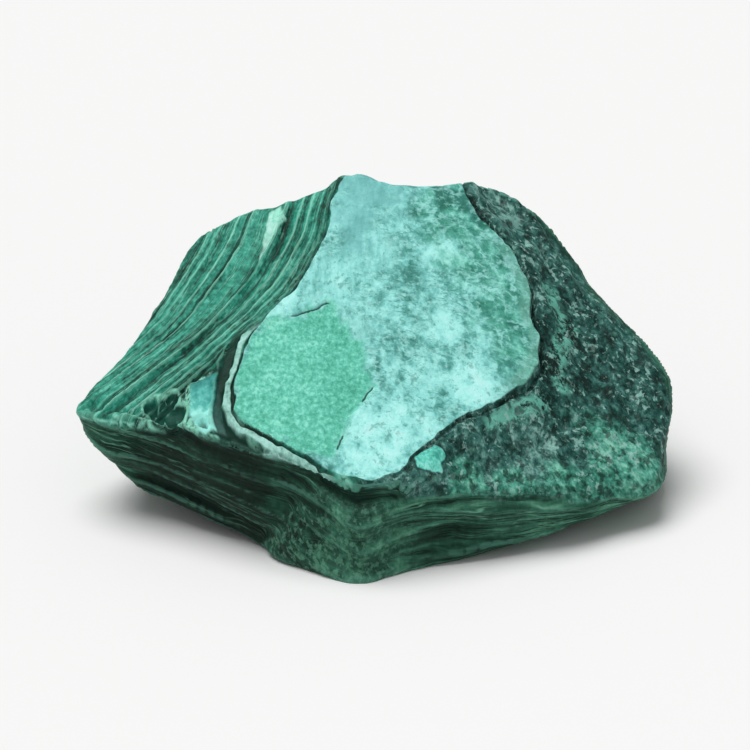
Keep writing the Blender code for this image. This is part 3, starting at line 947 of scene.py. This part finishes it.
def make_speckle_group():
    inputs = (
        ("Place", VECTOR, None), ("Size", FLOAT, 0.4), ("Squeeze", FLOAT, 1.0),
        ("Cover", FLOAT, 0.5), ("Softness", FLOAT, 0.1), ("Seed", FLOAT, 0.0),
        ("Swirl", FLOAT, 0.25),
    )
    group, start, end = new_group("speckle", inputs, (("Mask", FLOAT), ("Value", FLOAT), ("Line", FLOAT)))
    along = maths(group, "DIVIDE", 1.0, start.outputs["Squeeze"])
    stretch = place(group, "ShaderNodeCombineXYZ", {"X": along, "Y": along, "Z": 1.0})
    inputs = {0: start.outputs["Place"], 1: stretch.outputs[0]}
    squeezed = place(group, "ShaderNodeVectorMath", inputs, operation="MULTIPLY")
    shift = place(group, "ShaderNodeCombineXYZ", {"X": start.outputs["Seed"], "Y": start.outputs["Seed"]})
    inputs = {0: squeezed.outputs[0], 1: shift.outputs[0]}
    moved = place(group, "ShaderNodeVectorMath", inputs, operation="ADD")
    inputs = {
        "Vector": moved.outputs[0], "Scale": maths(group, "DIVIDE", 1.0, start.outputs["Size"]),
        "Detail": 3.0, "Roughness": 0.62, "Distortion": start.outputs["Swirl"],
    }
    blots = place(group, "ShaderNodeTexNoise", inputs).outputs["Fac"]
    level = maths(group, "SUBTRACT", 1.0, start.outputs["Cover"])
    level = maths(group, "MULTIPLY_ADD", level, 0.4, 0.3)
    low = maths(group, "SUBTRACT", level, start.outputs["Softness"])
    high = maths(group, "ADD", level, start.outputs["Softness"])
    group.links.new(spread(group, blots, low, high), end.inputs["Mask"])
    group.links.new(blots, end.inputs["Value"])
    away = maths(group, "ABSOLUTE", maths(group, "SUBTRACT", blots, level))
    group.links.new(spread(group, away, start.outputs["Softness"], 0.0), end.inputs["Line"])
    return group


speckle_group = make_speckle_group()


def speckle(tree, spot, size, squeeze=1.0, cover=0.5, softness=0.1, seed=0.0, swirl=0.25):
    """Places the speckle group in a material and returns its mask, raw value and line."""
    node = place(tree, "ShaderNodeGroup", node_tree=speckle_group)
    values = {
        "Size": size, "Squeeze": squeeze, "Cover": cover, "Softness": softness, "Seed": seed,
        "Swirl": swirl if squeeze == 1.0 else 0.0,
    }
    for name, value in values.items():
        if isinstance(value, bpy.types.NodeSocket):
            tree.links.new(value, node.inputs[name])
        else:
            node.inputs[name].default_value = value
    tree.links.new(spot, node.inputs["Place"])
    return node.outputs["Mask"], node.outputs["Value"], node.outputs["Line"]


# %% [markdown]
# The finishes below are all built from a few strokes: read a stored number, multiply masks, make
# a tone out of blots of several sizes, gather blots in clusters, or stretch them one way.

# %% Reading and joining values
def stored(tree, name, output="Fac"):
    return place(tree, "ShaderNodeAttribute", attribute_name=name).outputs[output]


def product(tree, *values):
    """All the values multiplied together."""
    total = values[0]
    for value in values[1:]:
        total = maths(tree, "MULTIPLY", total, value)
    return total


def tone_of(tree, spot, sizes, squeeze=1.0, seed=0.0, swirl=0.25):
    """A tone around 0.5 that swells over several sizes: (size across, share) each."""
    total = 0.5 - 0.5 * sum(share for _, share in sizes)
    for step, (size, share) in enumerate(sizes):
        value = speckle(tree, spot, size, squeeze=squeeze, seed=seed + 10.0 * step, swirl=swirl)[1]
        total = maths(tree, "MULTIPLY_ADD", value, share, total)
    return total


def clustered(tree, spot, size, least, most, seed):
    """A cover that swells and fades, so that blots gather in clusters."""
    value = speckle(tree, spot, size, seed=seed)[1]
    inputs = {"Value": value, "From Min": 0.35, "From Max": 0.65, "To Min": least, "To Max": most}
    return place(tree, "ShaderNodeMapRange", inputs).outputs["Result"]


def stretched(tree, spot, x, y, z):
    """The place with its three directions scaled apart from each other."""
    inputs = {0: spot, 1: (x, y, z)}
    return place(tree, "ShaderNodeVectorMath", inputs, operation="MULTIPLY").outputs[0]


# %% [markdown]
# The plateau is one bed's own skin, chalky and turquoise. It isn't one colour: the far left is
# smooth sky blue, the right is greener and the front is nearly white. One tone runs through it
# all, and a row of colours is read from that tone, so pale and dark melt into each other. Fibres,
# dashes, pale strokes and fine specks lie over it, and the rim on the right is worn to grey green.
# The patch is the next bed under the skin, a plain mint green.

# %% Finish of the plateau
TURQUOISE = (
    (0.37, 0.055, 0.27, 0.225), (0.44, 0.12, 0.43, 0.385), (0.51, 0.20, 0.62, 0.57),
    (0.58, 0.31, 0.82, 0.76), (0.68, 0.45, 0.99, 0.93), (0.78, 0.54, 1.0, 0.96),
)
LEAF_GREEN = (
    (0.37, 0.022, 0.18, 0.13), (0.45, 0.05, 0.31, 0.225), (0.53, 0.10, 0.44, 0.34),
    (0.61, 0.19, 0.63, 0.51), (0.70, 0.38, 0.90, 0.78),
)
SKY_BLUE = ((0.40, 0.15, 0.48, 0.465), (0.50, 0.19, 0.565, 0.55), (0.60, 0.28, 0.73, 0.705))
MINT = (
    (0.38, 0.055, 0.38, 0.26), (0.46, 0.095, 0.51, 0.365), (0.54, 0.15, 0.65, 0.485),
    (0.63, 0.28, 0.84, 0.665),
)
SPECK = colour(0.02, 0.19, 0.15)
FLECK = colour(0.45, 0.98, 0.92)
WORN_RIM = colour(0.19, 0.46, 0.37)


def plateau_finish(tree, spot, tone_and_shade):
    """Colour of the turquoise skin, and how far its specks are sunk."""
    ragged = maths(tree, "MULTIPLY_ADD", speckle(tree, spot, 1.8, seed=11.0)[1], 2.2, -1.1)
    sky = spread(tree, maths(tree, "ADD", stored(tree, "sky"), ragged), -0.1, 0.8)
    leaf = spread(tree, maths(tree, "SUBTRACT", stored(tree, "leaf"), ragged), -0.1, 0.6)
    fibre = spread(tree, stored(tree, "fibre"), 0.0, 0.6)
    middle = maths(tree, "SUBTRACT", 1.0, maths(tree, "MAXIMUM", sky, fibre))

    tone = tone_of(tree, spot, ((3.0, 0.32), (1.4, 0.62), (0.55, 0.32)), seed=1.0)
    tone = maths(tree, "ADD", tone, maths(tree, "ADD", tone_and_shade, 0.015))
    base = mixed(tree, leaf, toned(tree, tone, TURQUOISE), toned(tree, tone, LEAF_GREEN))
    drawn_out = stretched(tree, spot, 1.0, 0.2, 1.0)
    strands = tone_of(tree, drawn_out, ((0.9, 0.6), (0.4, 0.4)), seed=4.0, swirl=0.0)
    strand_colour = toned(tree, maths(tree, "ADD", strands, 0.08), TURQUOISE)
    base = mixed(tree, product(tree, fibre, 0.6), base, strand_colour)
    calm = maths(tree, "MULTIPLY_ADD", strands, 0.5, 0.25)
    base = mixed(tree, product(tree, sky, 0.8), base, toned(tree, calm, SKY_BLUE))

    dash_place = stretched(tree, spot, 0.35, 1.0, 1.0)
    dashes = speckle(tree, dash_place, 0.7, cover=0.45, softness=0.045, seed=27.0, swirl=0.0)[2]
    dash_zone = speckle(tree, spot, 2.4, cover=0.5, softness=0.06, seed=28.0)[0]
    off_pale = spread(tree, tone_and_shade, 0.12, 0.02)
    dashes = product(tree, dashes, dash_zone, middle, product(tree, off_pale, 0.6))
    cover = clustered(tree, spot, 1.8, 0.0, 0.44, 32.0)
    specks = speckle(tree, spot, 0.5, cover=cover, softness=0.09, seed=2.0)[0]
    calm_share = maths(tree, "MULTIPLY_ADD", sky, -0.45, 0.52)
    sunk = maths(tree, "MAXIMUM", dashes, product(tree, specks, calm_share))
    base = mixed(tree, sunk, base, SPECK)
    stroke_place = stretched(tree, spot, 0.6, 1.0, 1.0)
    strokes = speckle(tree, stroke_place, 1.5, cover=0.47, softness=0.06, seed=46.0)[2]
    stroke_zone = speckle(tree, spot, 1.3, cover=0.5, softness=0.08, seed=47.0)[0]
    base = mixed(tree, product(tree, strokes, stroke_zone, middle, 0.5), base, FLECK)
    cover = clustered(tree, spot, 2.2, 0.05, 0.45, 33.0)
    flecks = speckle(tree, spot, 0.5, cover=cover, softness=0.10, seed=3.0)[0]
    base = mixed(tree, product(tree, flecks, calm_share), base, FLECK)
    far_right = spread(tree, place(tree, "ShaderNodeSeparateXYZ", {0: spot}).outputs["X"], 9.5, 12.5)
    worn_rim = product(tree, between(tree, stored(tree, "rim"), -0.9, 0.2, 0.3), far_right, 0.42)
    return mixed(tree, worn_rim, base, WORN_RIM), sunk


def patch_finish(tree, spot, tone_and_shade):
    """Plain mint green of the bed just under the turquoise skin, dusted at its near left."""
    tone = tone_of(tree, spot, ((4.0, 0.25), (0.8, 0.2), (0.36, 0.6)), seed=5.0)
    parts = place(tree, "ShaderNodeSeparateXYZ", {0: spot})
    dusty = product(tree, spread(tree, parts.outputs["X"], -2.0, -9.0), 0.045)
    tone = maths(tree, "ADD", tone, maths(tree, "MULTIPLY_ADD", tone_and_shade, 0.3, dusty))
    return toned(tree, tone, MINT)


# %% [markdown]
# On the wing the beds are cut nearly flat, so each shows as a long calm band between a pale ridge
# and a dark gap. The place across the wing picks the tone from a row of bands, and two more rows
# draw the ridges and the gaps at the same places as the relief. Noise bends the lines and breaks
# them, and hair lines run along the beds between them.

# %% Finish of the wing
RIB_GREEN = (
    (0.36, 0.003, 0.042, 0.026), (0.43, 0.007, 0.113, 0.074), (0.51, 0.020, 0.235, 0.160),
    (0.59, 0.048, 0.395, 0.285), (0.68, 0.16, 0.62, 0.47),
)
BAND_TONES = (  # place across the wing and tone there
    (0.01, 0.41), (0.05, 0.43), (0.10, 0.49), (0.17, 0.55), (0.22, 0.49), (0.27, 0.53),
    (0.33, 0.455), (0.38, 0.54), (0.44, 0.47), (0.50, 0.52), (0.60, 0.555), (0.655, 0.46),
    (0.70, 0.535), (0.78, 0.51), (0.86, 0.55), (0.92, 0.52), (0.96, 0.46),
)
# Pale beds on the crests of the wing's relief, brightened there as painted highlights
RIDGE_HIGHLIGHTS = (  # place across and strength
    (0.06, 0.3), (0.12, 0.4), (0.185, 0.85), (0.265, 0.65), (0.395, 1.0), (0.50, 0.3),
    (0.635, 0.75), (0.735, 0.95), (0.855, 0.8), (0.93, 0.65),
)
# Dark gaps in the troughs of the wing's relief: painted shade
GAP_SHADES = (
    (0.03, 0.9), (0.09, 0.6), (0.15, 0.5), (0.225, 0.45), (0.335, 0.45), (0.425, 0.5),
    (0.667, 0.95), (0.80, 0.5), (0.895, 0.6), (0.965, 0.8),
)
LINE_REACH = 0.012  # half the width of a line, as a share of the wing
FLAKE_BLUE = (
    (0.36, 0.02, 0.22, 0.195), (0.46, 0.055, 0.38, 0.335), (0.55, 0.14, 0.60, 0.52),
    (0.64, 0.36, 0.92, 0.82),
)
BAND_LENGTH = 15.0
PALE_LINE = colour(0.34, 0.87, 0.67)
DARK_LINE = colour(0.002, 0.03, 0.019)
FACET = ((0.38, 0.19, 0.64, 0.49), (0.47, 0.40, 0.92, 0.74), (0.56, 0.58, 1.0, 0.88))


def line_stops(lines):
    """Stops that rise to each line's strength at its place and fall to 0 beside it."""
    stops = []
    for at, strength in lines:
        stops += [(at - LINE_REACH, 0, 0, 0), (at, *[strength] * 3), (at + LINE_REACH, 0, 0, 0)]
    return stops


def rib_finish(tree, spot, tone_and_shade):
    """Beds cut across on the wing: calm green bands, pale ridges with painted highlights, dark gaps with
    painted shade.
    """
    rib = stored(tree, "rib")
    wander = maths(tree, "SUBTRACT", speckle(tree, spot, 2.0, seed=41.0)[1], 0.5)
    crooked = maths(tree, "MULTIPLY_ADD", wander, 0.035, rib)
    parts = place(tree, "ShaderNodeSeparateXYZ", {0: spot})
    run = maths(tree, "MULTIPLY", parts.outputs["X"], RIB_RUN[0] / BAND_LENGTH)
    run = maths(tree, "MULTIPLY_ADD", parts.outputs["Y"], RIB_RUN[1] / BAND_LENGTH, run)
    across = maths(tree, "MULTIPLY", rib, RIBS_ACROSS)
    bands = place(tree, "ShaderNodeCombineXYZ", {"X": across, "Y": run, "Z": 0.0}).outputs[0]

    tone = toned(tree, crooked, [(at, tone, tone, tone) for at, tone in BAND_TONES])
    lined = speckle(tree, bands, 1.5, cover=0.5, softness=0.05, seed=38.0, swirl=0.0)[0]
    lined = maths(tree, "MULTIPLY_ADD", lined, 0.5, 0.25)
    fine = maths(tree, "SUBTRACT", speckle(tree, bands, 0.42, seed=39.0, swirl=0.0)[1], 0.5)
    grain = tone_of(tree, spot, ((1.6, 0.3), (0.42, 0.42)), seed=8.0)
    tone = maths(tree, "MULTIPLY_ADD", fine, lined, tone)
    tone = maths(tree, "ADD", tone, maths(tree, "SUBTRACT", grain, 0.5))
    base = toned(tree, maths(tree, "ADD", tone, tone_and_shade), RIB_GREEN)

    gate = speckle(tree, bands, 1.0, cover=0.72, softness=0.06, seed=19.0, swirl=0.0)[0]
    gate = product(tree, gate, spread(tree, grain, 0.37, 0.47))
    hair = speckle(tree, bands, 0.5, cover=0.52, softness=0.025, seed=40.0, swirl=0.0)[2]
    # pale ridge lines: painted highlights on the crests, with the beds' own hair lines
    ridges = toned(tree, crooked, line_stops(RIDGE_HIGHLIGHTS))
    pale = product(tree, maths(tree, "MAXIMUM", ridges, product(tree, hair, 0.5)), gate)
    base = mixed(tree, product(tree, pale, 0.95), base, PALE_LINE)
    thread = speckle(tree, bands, 0.8, cover=0.52, softness=0.022, seed=29.0, swirl=0.0)[2]
    # dark gap lines: painted shade in the troughs, with the beds' own thread lines
    gaps = toned(tree, crooked, line_stops(GAP_SHADES))
    dark = maths(tree, "MAXIMUM", gaps, product(tree, thread, lined, 0.8))
    base = mixed(tree, product(tree, dark, 0.9), base, DARK_LINE)
    facet = spread(tree, stored(tree, "facet"), 0.12, -0.12)
    base = mixed(tree, product(tree, facet, 0.95), base, toned(tree, grain, FACET))
    return base, maths(tree, "SUBTRACT", dark, pale)


def sparkle_zone(tree, spot):
    """Where loose pale crystals show."""
    return speckle(tree, spot, 0.7, cover=0.6, softness=0.08, seed=44.0)[0]


def flake_finish(tree, spot):
    """Teal flake, dark at its far end and pale at the near one."""
    parts = place(tree, "ShaderNodeSeparateXYZ", {0: spot})
    near = product(tree, spread(tree, parts.outputs["Y"], 13.0, 7.0), 0.34)
    tone = tone_of(tree, spot, ((1.6, 0.4), (0.5, 0.3)), seed=25.0)
    return toned(tree, maths(tree, "ADD", tone, maths(tree, "SUBTRACT", near, 0.10)), FLAKE_BLUE)


# %% [markdown]
# The broken sides show the pile end on, as thin lines of pale and dark green, darkest under the
# wing, where shade is painted into them. The foot is broken across a lump, so it is mottled rather
# than lined. The rough ground beside the plateau is a mixture of dark dust, green patches and pale
# grains, with a small chip of the turquoise skin left on it.

# %% Finish of the sides and the margin
SIDE_GREEN = (
    (0.35, 0.002, 0.018, 0.010), (0.43, 0.007, 0.050, 0.029), (0.51, 0.020, 0.098, 0.060),
    (0.59, 0.048, 0.19, 0.120), (0.68, 0.13, 0.37, 0.25),
)
MARGIN_GREY = (
    (0.37, 0.002, 0.022, 0.017), (0.44, 0.007, 0.055, 0.045), (0.52, 0.024, 0.115, 0.097),
    (0.60, 0.070, 0.215, 0.185), (0.69, 0.20, 0.42, 0.37),
)
MARGIN_GREEN = (
    (0.37, 0.003, 0.04, 0.026), (0.45, 0.016, 0.12, 0.082), (0.53, 0.045, 0.24, 0.17),
    (0.61, 0.11, 0.42, 0.31), (0.70, 0.26, 0.66, 0.50),
)
CHIP = ((0.38, 0.06, 0.42, 0.33), (0.50, 0.14, 0.69, 0.56), (0.62, 0.33, 0.93, 0.81))
PALE_GRAIN = colour(0.30, 0.56, 0.49)
GREEN_STREAK = colour(0.15, 0.50, 0.39)
PALE_BED = colour(0.14, 0.38, 0.26)
DARK_BED = colour(0.002, 0.016, 0.010)


def layer_finish(tree, spot, tone_and_shade):
    """Beds seen end on at the broken sides, and the mottled foot."""
    foot = stored(tree, "foot")
    off_foot = maths(tree, "MULTIPLY_ADD", foot, -0.7, 1.0)
    # painted shade under the wing: it darkens the beds there and dims their pale lines
    shaded = spread(tree, tone_and_shade, -0.02, -0.10)
    tone = tone_of(tree, spot, ((2.4, 0.20), (0.8, 0.42), (0.36, 0.5)), squeeze=15.0, seed=12.0)
    contrast = maths(tree, "MULTIPLY_ADD", shaded, -0.5, 1.0)
    tone = product(tree, maths(tree, "SUBTRACT", tone, 0.5), off_foot, contrast)
    grain = maths(tree, "SUBTRACT", tone_of(tree, spot, ((2.4, 0.45), (0.55, 0.42)), seed=13.0), 0.5)
    mottled = maths(tree, "MULTIPLY_ADD", foot, 0.5, 0.4)
    tone = maths(tree, "MULTIPLY_ADD", grain, mottled, tone)
    tone = maths(tree, "ADD", tone, maths(tree, "MULTIPLY_ADD", shaded, -0.035, 0.5))
    tone = maths(tree, "ADD", tone, tone_and_shade)
    base = toned(tree, tone, SIDE_GREEN)
    gate = speckle(tree, spot, 2.0, squeeze=3.0, cover=0.5, softness=0.06, seed=14.0)[0]
    pale = speckle(tree, spot, 0.7, squeeze=20.0, cover=0.5, softness=0.018, seed=15.0)[2]
    pale = product(tree, pale, gate, off_foot, maths(tree, "MULTIPLY_ADD", shaded, -0.6, 0.9))
    flecks = speckle(tree, spot, 0.45, cover=0.34, softness=0.08, seed=45.0)[0]
    pale = maths(tree, "MAXIMUM", pale, product(tree, flecks, foot, 0.5))
    base = mixed(tree, pale, base, PALE_BED)
    dark = speckle(tree, spot, 0.8, squeeze=20.0, cover=0.5, softness=0.028, seed=18.0)[2]
    dark = product(tree, dark, off_foot, 0.85)
    return mixed(tree, dark, base, DARK_BED), dark


def margin_finish(tree, spot, tone_and_shade):
    """Rough dark ground beside the plateau, with green patches and pale grains."""
    tone = tone_of(tree, spot, ((3.0, 0.35), (1.0, 0.5), (0.42, 0.5)), seed=16.0)
    tone = maths(tree, "ADD", tone, tone_and_shade)
    base = toned(tree, tone, MARGIN_GREY)
    ragged = maths(tree, "MULTIPLY_ADD", speckle(tree, spot, 2.4, squeeze=2.5, seed=17.0)[1], 3.0, -1.5)
    green = spread(tree, maths(tree, "ADD", stored(tree, "green"), ragged), -0.2, 0.4)
    base = mixed(tree, green, base, toned(tree, tone, MARGIN_GREEN))
    streak = maths(tree, "ADD", stored(tree, "streak"), product(tree, ragged, 0.5))
    streak = product(tree, spread(tree, streak, 0.85, 0.35), spread(tree, tone, 0.38, 0.48))
    base = mixed(tree, product(tree, streak, 0.85), base, GREEN_STREAK)
    cover = clustered(tree, spot, 2.6, 0.0, 0.42, 34.0)
    grains = speckle(tree, spot, 0.45, cover=cover, softness=0.06, seed=35.0)[0]
    base = mixed(tree, product(tree, grains, 0.8), base, PALE_GRAIN)
    black = speckle(tree, spot, 0.9, cover=0.34, softness=0.06, seed=19.0)[0]
    base = mixed(tree, product(tree, black, 0.7), base, DARK_BED)
    chip_at = maths(tree, "ADD", stored(tree, "chip"), product(tree, ragged, 0.25))
    base = mixed(tree, product(tree, between(tree, chip_at, 0.0, 0.2, 0.1), 0.5), base, DARK_BED)
    return mixed(tree, spread(tree, chip_at, 0.08, -0.08), base, toned(tree, tone, CHIP)), black


# %% [markdown]
# The finishes are laid over each other in one material, from the sides up to the plateau. By the
# measured relief, highlights are painted on the crests and shade into the hollows. Last come the
# lines at the plateau's rim, with shade painted into the crevice and a chalky ledge standing free.

# %% The malachite
# Painted shade, laid into hollows, small pits and the crevice at the rim
PAINTED_SHADE = colour(0.002, 0.018, 0.012)
# Painted shadow for the hair crack
CRACK_SHADE = colour(0.008, 0.07, 0.05)
PIT_GREEN = colour(0.004, 0.075, 0.05)
DEEP_GREEN = colour(0.002, 0.034, 0.022)
CHALK = ((0.36, 0.14, 0.34, 0.28), (0.47, 0.30, 0.62, 0.53), (0.60, 0.48, 0.88, 0.78))
# Painted highlight for the crests of the relief
CREST_HIGHLIGHT = colour(0.17, 0.50, 0.37)


def make_malachite():
    material = bpy.data.materials.new("malachite")
    material.use_nodes = True
    tree = material.node_tree
    shader = tree.nodes["Principled BSDF"]
    shader.inputs["Specular IOR Level"].default_value = 0.2
    spot = stored(tree, "beds", "Vector")
    on_top, on_wing, rim = stored(tree, "on_top"), stored(tree, "on_wing"), stored(tree, "rim")
    double, fine, broad = stored(tree, "double"), stored(tree, "fine"), stored(tree, "broad")
    tone_and_shade, edge = stored(tree, "tone_and_shade"), stored(tree, "edge")

    side, side_sunk = layer_finish(tree, spot, tone_and_shade)
    margin, margin_sunk = margin_finish(tree, spot, tone_and_shade)
    base = mixed(tree, on_top, side, margin)
    wing = product(tree, on_wing, on_top)
    ribs, rib_sunk = rib_finish(tree, spot, tone_and_shade)
    base = mixed(tree, wing, base, ribs)
    flake_at = stored(tree, "flake")
    sparkle = speckle(tree, spot, 0.5, cover=0.5, softness=0.06, seed=43.0)[0]
    sparkle = product(tree, sparkle, between(tree, flake_at, -0.15, 0.45, 0.15), wing)
    base = mixed(tree, product(tree, sparkle, spread(tree, rim, 2.2, 3.0), 0.8), base, PALE_LINE)
    pit_at = maths(tree, "ADD", stored(tree, "pit"), maths(tree, "MULTIPLY", fine, -2.0))
    pale_pit = product(tree, between(tree, pit_at, -0.35, 0.0, 0.15), sparkle_zone(tree, spot), wing)
    base = mixed(tree, product(tree, pale_pit, 0.75), base, PALE_LINE)
    in_pit = product(tree, spread(tree, pit_at, 0.0, 0.3), wing)
    base = mixed(tree, product(tree, in_pit, 0.8), base, PIT_GREEN)
    flake = product(tree, spread(tree, flake_at, 0.12, -0.12), wing)
    base = mixed(tree, flake, base, flake_finish(tree, spot))

    # painted highlight on the crests of the fine relief
    highlit_crests = product(tree, spread(tree, fine, 0.01, 0.06), maths(tree, "MULTIPLY_ADD", on_top, 0.2, 0.25))
    base = mixed(tree, highlit_crests, base, CREST_HIGHLIGHT)
    lip = speckle(tree, spot, 1.0, cover=0.6, softness=0.08, seed=36.0)[0]
    at_side = spread(tree, place(tree, "ShaderNodeSeparateXYZ", {0: spot}).outputs["X"], -5.0, -7.5)
    lip = product(tree, between(tree, edge, -0.04, 0.1, 0.08), wing, lip, at_side, 0.75)
    base = mixed(tree, lip, base, PALE_LINE)
    # painted shade in the hollows of the broad relief
    hollow_shade = product(tree, spread(tree, broad, -0.03, -0.25), maths(tree, "MULTIPLY_ADD", on_top, 0.3, 0.5))
    off_pit = maths(tree, "MULTIPLY_ADD", in_pit, -0.8, 1.0)
    base = mixed(tree, product(tree, hollow_shade, off_pit), base, PAINTED_SHADE)

    ledge = product(tree, between(tree, rim, 0.3, 0.74, 0.06), wing, double)
    chalk = toned(tree, tone_of(tree, spot, ((1.2, 0.5), (0.4, 0.5)), seed=37.0), CHALK)
    base = mixed(tree, product(tree, ledge, 0.9), base, chalk)
    skin_top = product(tree, spread(tree, rim, 0.03, -0.03), on_top)
    border = maths(tree, "MULTIPLY_ADD", speckle(tree, spot, 1.2, seed=23.0)[1], 3.0, -1.5)
    patch = spread(tree, maths(tree, "ADD", stored(tree, "patch"), border), 0.45, -0.55)
    plateau, plateau_sunk = plateau_finish(tree, spot, tone_and_shade)
    surface = mixed(tree, patch, plateau, patch_finish(tree, spot, tone_and_shade))
    # painted shade in the small pits of the plateau's fine relief
    pits = product(tree, spread(tree, fine, -0.015, -0.05), 0.85)
    surface = mixed(tree, pits, surface, PAINTED_SHADE)
    # painted shadow along the crack at the patch's edge, in three places
    crack = product(tree, between(tree, stored(tree, "patch"), -0.06, 0.06, 0.06), skin_top)
    crack = product(tree, crack, spread(tree, stored(tree, "crack"), 0.0, 0.6), 0.85)
    surface = mixed(tree, crack, surface, CRACK_SHADE)
    base = mixed(tree, skin_top, base, surface)
    # painted shade in the crevice along the foot of the rim
    crevice = product(tree, between(tree, rim, 0.08, 0.28, 0.05), on_top)
    crevice = product(tree, crevice, spread(tree, fine, 0.02, -0.06))
    base = mixed(tree, product(tree, crevice, 0.95), base, PAINTED_SHADE)
    outer = product(tree, between(tree, rim, 0.88, 1.8, 0.12), wing, double)
    base = mixed(tree, product(tree, outer, 0.9), base, DEEP_GREEN)
    tree.links.new(base, shader.inputs["Base Color"])

    grit = speckle(tree, spot, 0.4, seed=21.0)[1]
    layers = speckle(tree, spot, 0.7, squeeze=9.0, seed=22.0)[1]
    off_plateau = maths(tree, "SUBTRACT", 1.0, skin_top)
    off_patch = product(tree, skin_top, maths(tree, "SUBTRACT", 1.0, patch))
    height = maths(tree, "MULTIPLY_ADD", layers, off_plateau, grit)
    off_top = maths(tree, "SUBTRACT", 1.0, on_top)
    off_wing = maths(tree, "SUBTRACT", 1.0, on_wing)
    margin_share = product(tree, on_top, off_wing)
    sunk = maths(tree, "MULTIPLY_ADD", margin_sunk, margin_share, product(tree, side_sunk, off_top))
    sunk = maths(tree, "MULTIPLY_ADD", rib_sunk, wing, sunk)
    height = maths(tree, "SUBTRACT", height, product(tree, sunk, off_plateau, 0.5))
    height = maths(tree, "SUBTRACT", height, product(tree, plateau_sunk, off_patch, 0.3))
    inputs = {"Height": height, "Distance": 0.00012, "Strength": 0.8}
    bump = place(tree, "ShaderNodeBump", inputs)
    tree.links.new(bump.outputs["Normal"], shader.inputs["Normal"])
    rough = maths(tree, "MULTIPLY_ADD", grit, 0.3, 0.45)
    tree.links.new(rough, shader.inputs["Roughness"])
    return material


stone.data.materials.append(make_malachite())
print("nodes in the stone's material:", len(stone.data.materials[0].node_tree.nodes))

# %% [markdown]
# The stone lies on a plain pale surface under soft light from above and a little behind, so its
# top is bright and the broken front falls into shade.

# %% Floor, light and camera
FLOOR_SIZE = 4.0
VIEW_ELEVATION = 27.0
VIEW_DISTANCE = 0.6
FRAME_WIDTH = 0.063
VIEW_DROP = 0.001  # the view is centred this far under the stone's middle


def make_floor():
    shape = bmesh.new()
    bmesh.ops.create_grid(shape, size=FLOOR_SIZE / 2.0)
    mesh = bpy.data.meshes.new("floor")
    shape.to_mesh(mesh)
    shape.free()
    floor = bpy.data.objects.new("floor", mesh)
    bpy.context.scene.collection.objects.link(floor)
    material = bpy.data.materials.new("pale floor")
    material.use_nodes = True
    shader = material.node_tree.nodes["Principled BSDF"]
    shader.inputs["Base Color"].default_value = colour(0.9, 0.9, 0.895)
    shader.inputs["Roughness"].default_value = 0.8
    mesh.materials.append(material)


def add_sun(name, toward, strength, softness):
    """A far panel of light; its softness is the angle that it fills, in degrees."""
    lamp = bpy.data.lights.new(name, "SUN")
    lamp.energy = strength
    lamp.angle = math.radians(softness)
    holder = bpy.data.objects.new(name, lamp)
    holder.rotation_euler = Vector(toward).to_track_quat("Z", "Y").to_euler()
    bpy.context.scene.collection.objects.link(holder)


def add_camera():
    low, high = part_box("stone")
    aim = (low + high) / 2.0 - Vector((0.0, 0.0, VIEW_DROP))
    tilt = math.radians(VIEW_ELEVATION)
    back = Vector((0.0, -math.cos(tilt), math.sin(tilt)))
    lens = bpy.data.cameras.new("camera")
    lens.lens = lens.sensor_width * VIEW_DISTANCE / FRAME_WIDTH
    lens.clip_start = 0.01
    holder = bpy.data.objects.new("camera", lens)
    holder.location = aim + back * VIEW_DISTANCE
    holder.rotation_euler = (-back).to_track_quat("-Z", "Y").to_euler()
    bpy.context.scene.collection.objects.link(holder)
    bpy.context.scene.camera = holder


make_floor()
add_sun("overhead panel", (-0.25, 0.15, 1.0), 2.32, 45.0)
world = bpy.data.worlds.new("studio")
world.use_nodes = True
world.node_tree.nodes["Background"].inputs["Color"].default_value = colour(1.0, 1.0, 1.0)
world.node_tree.nodes["Background"].inputs["Strength"].default_value = 0.335
bpy.context.scene.world = world
bpy.context.scene.view_settings.view_transform = "Standard"
add_camera()
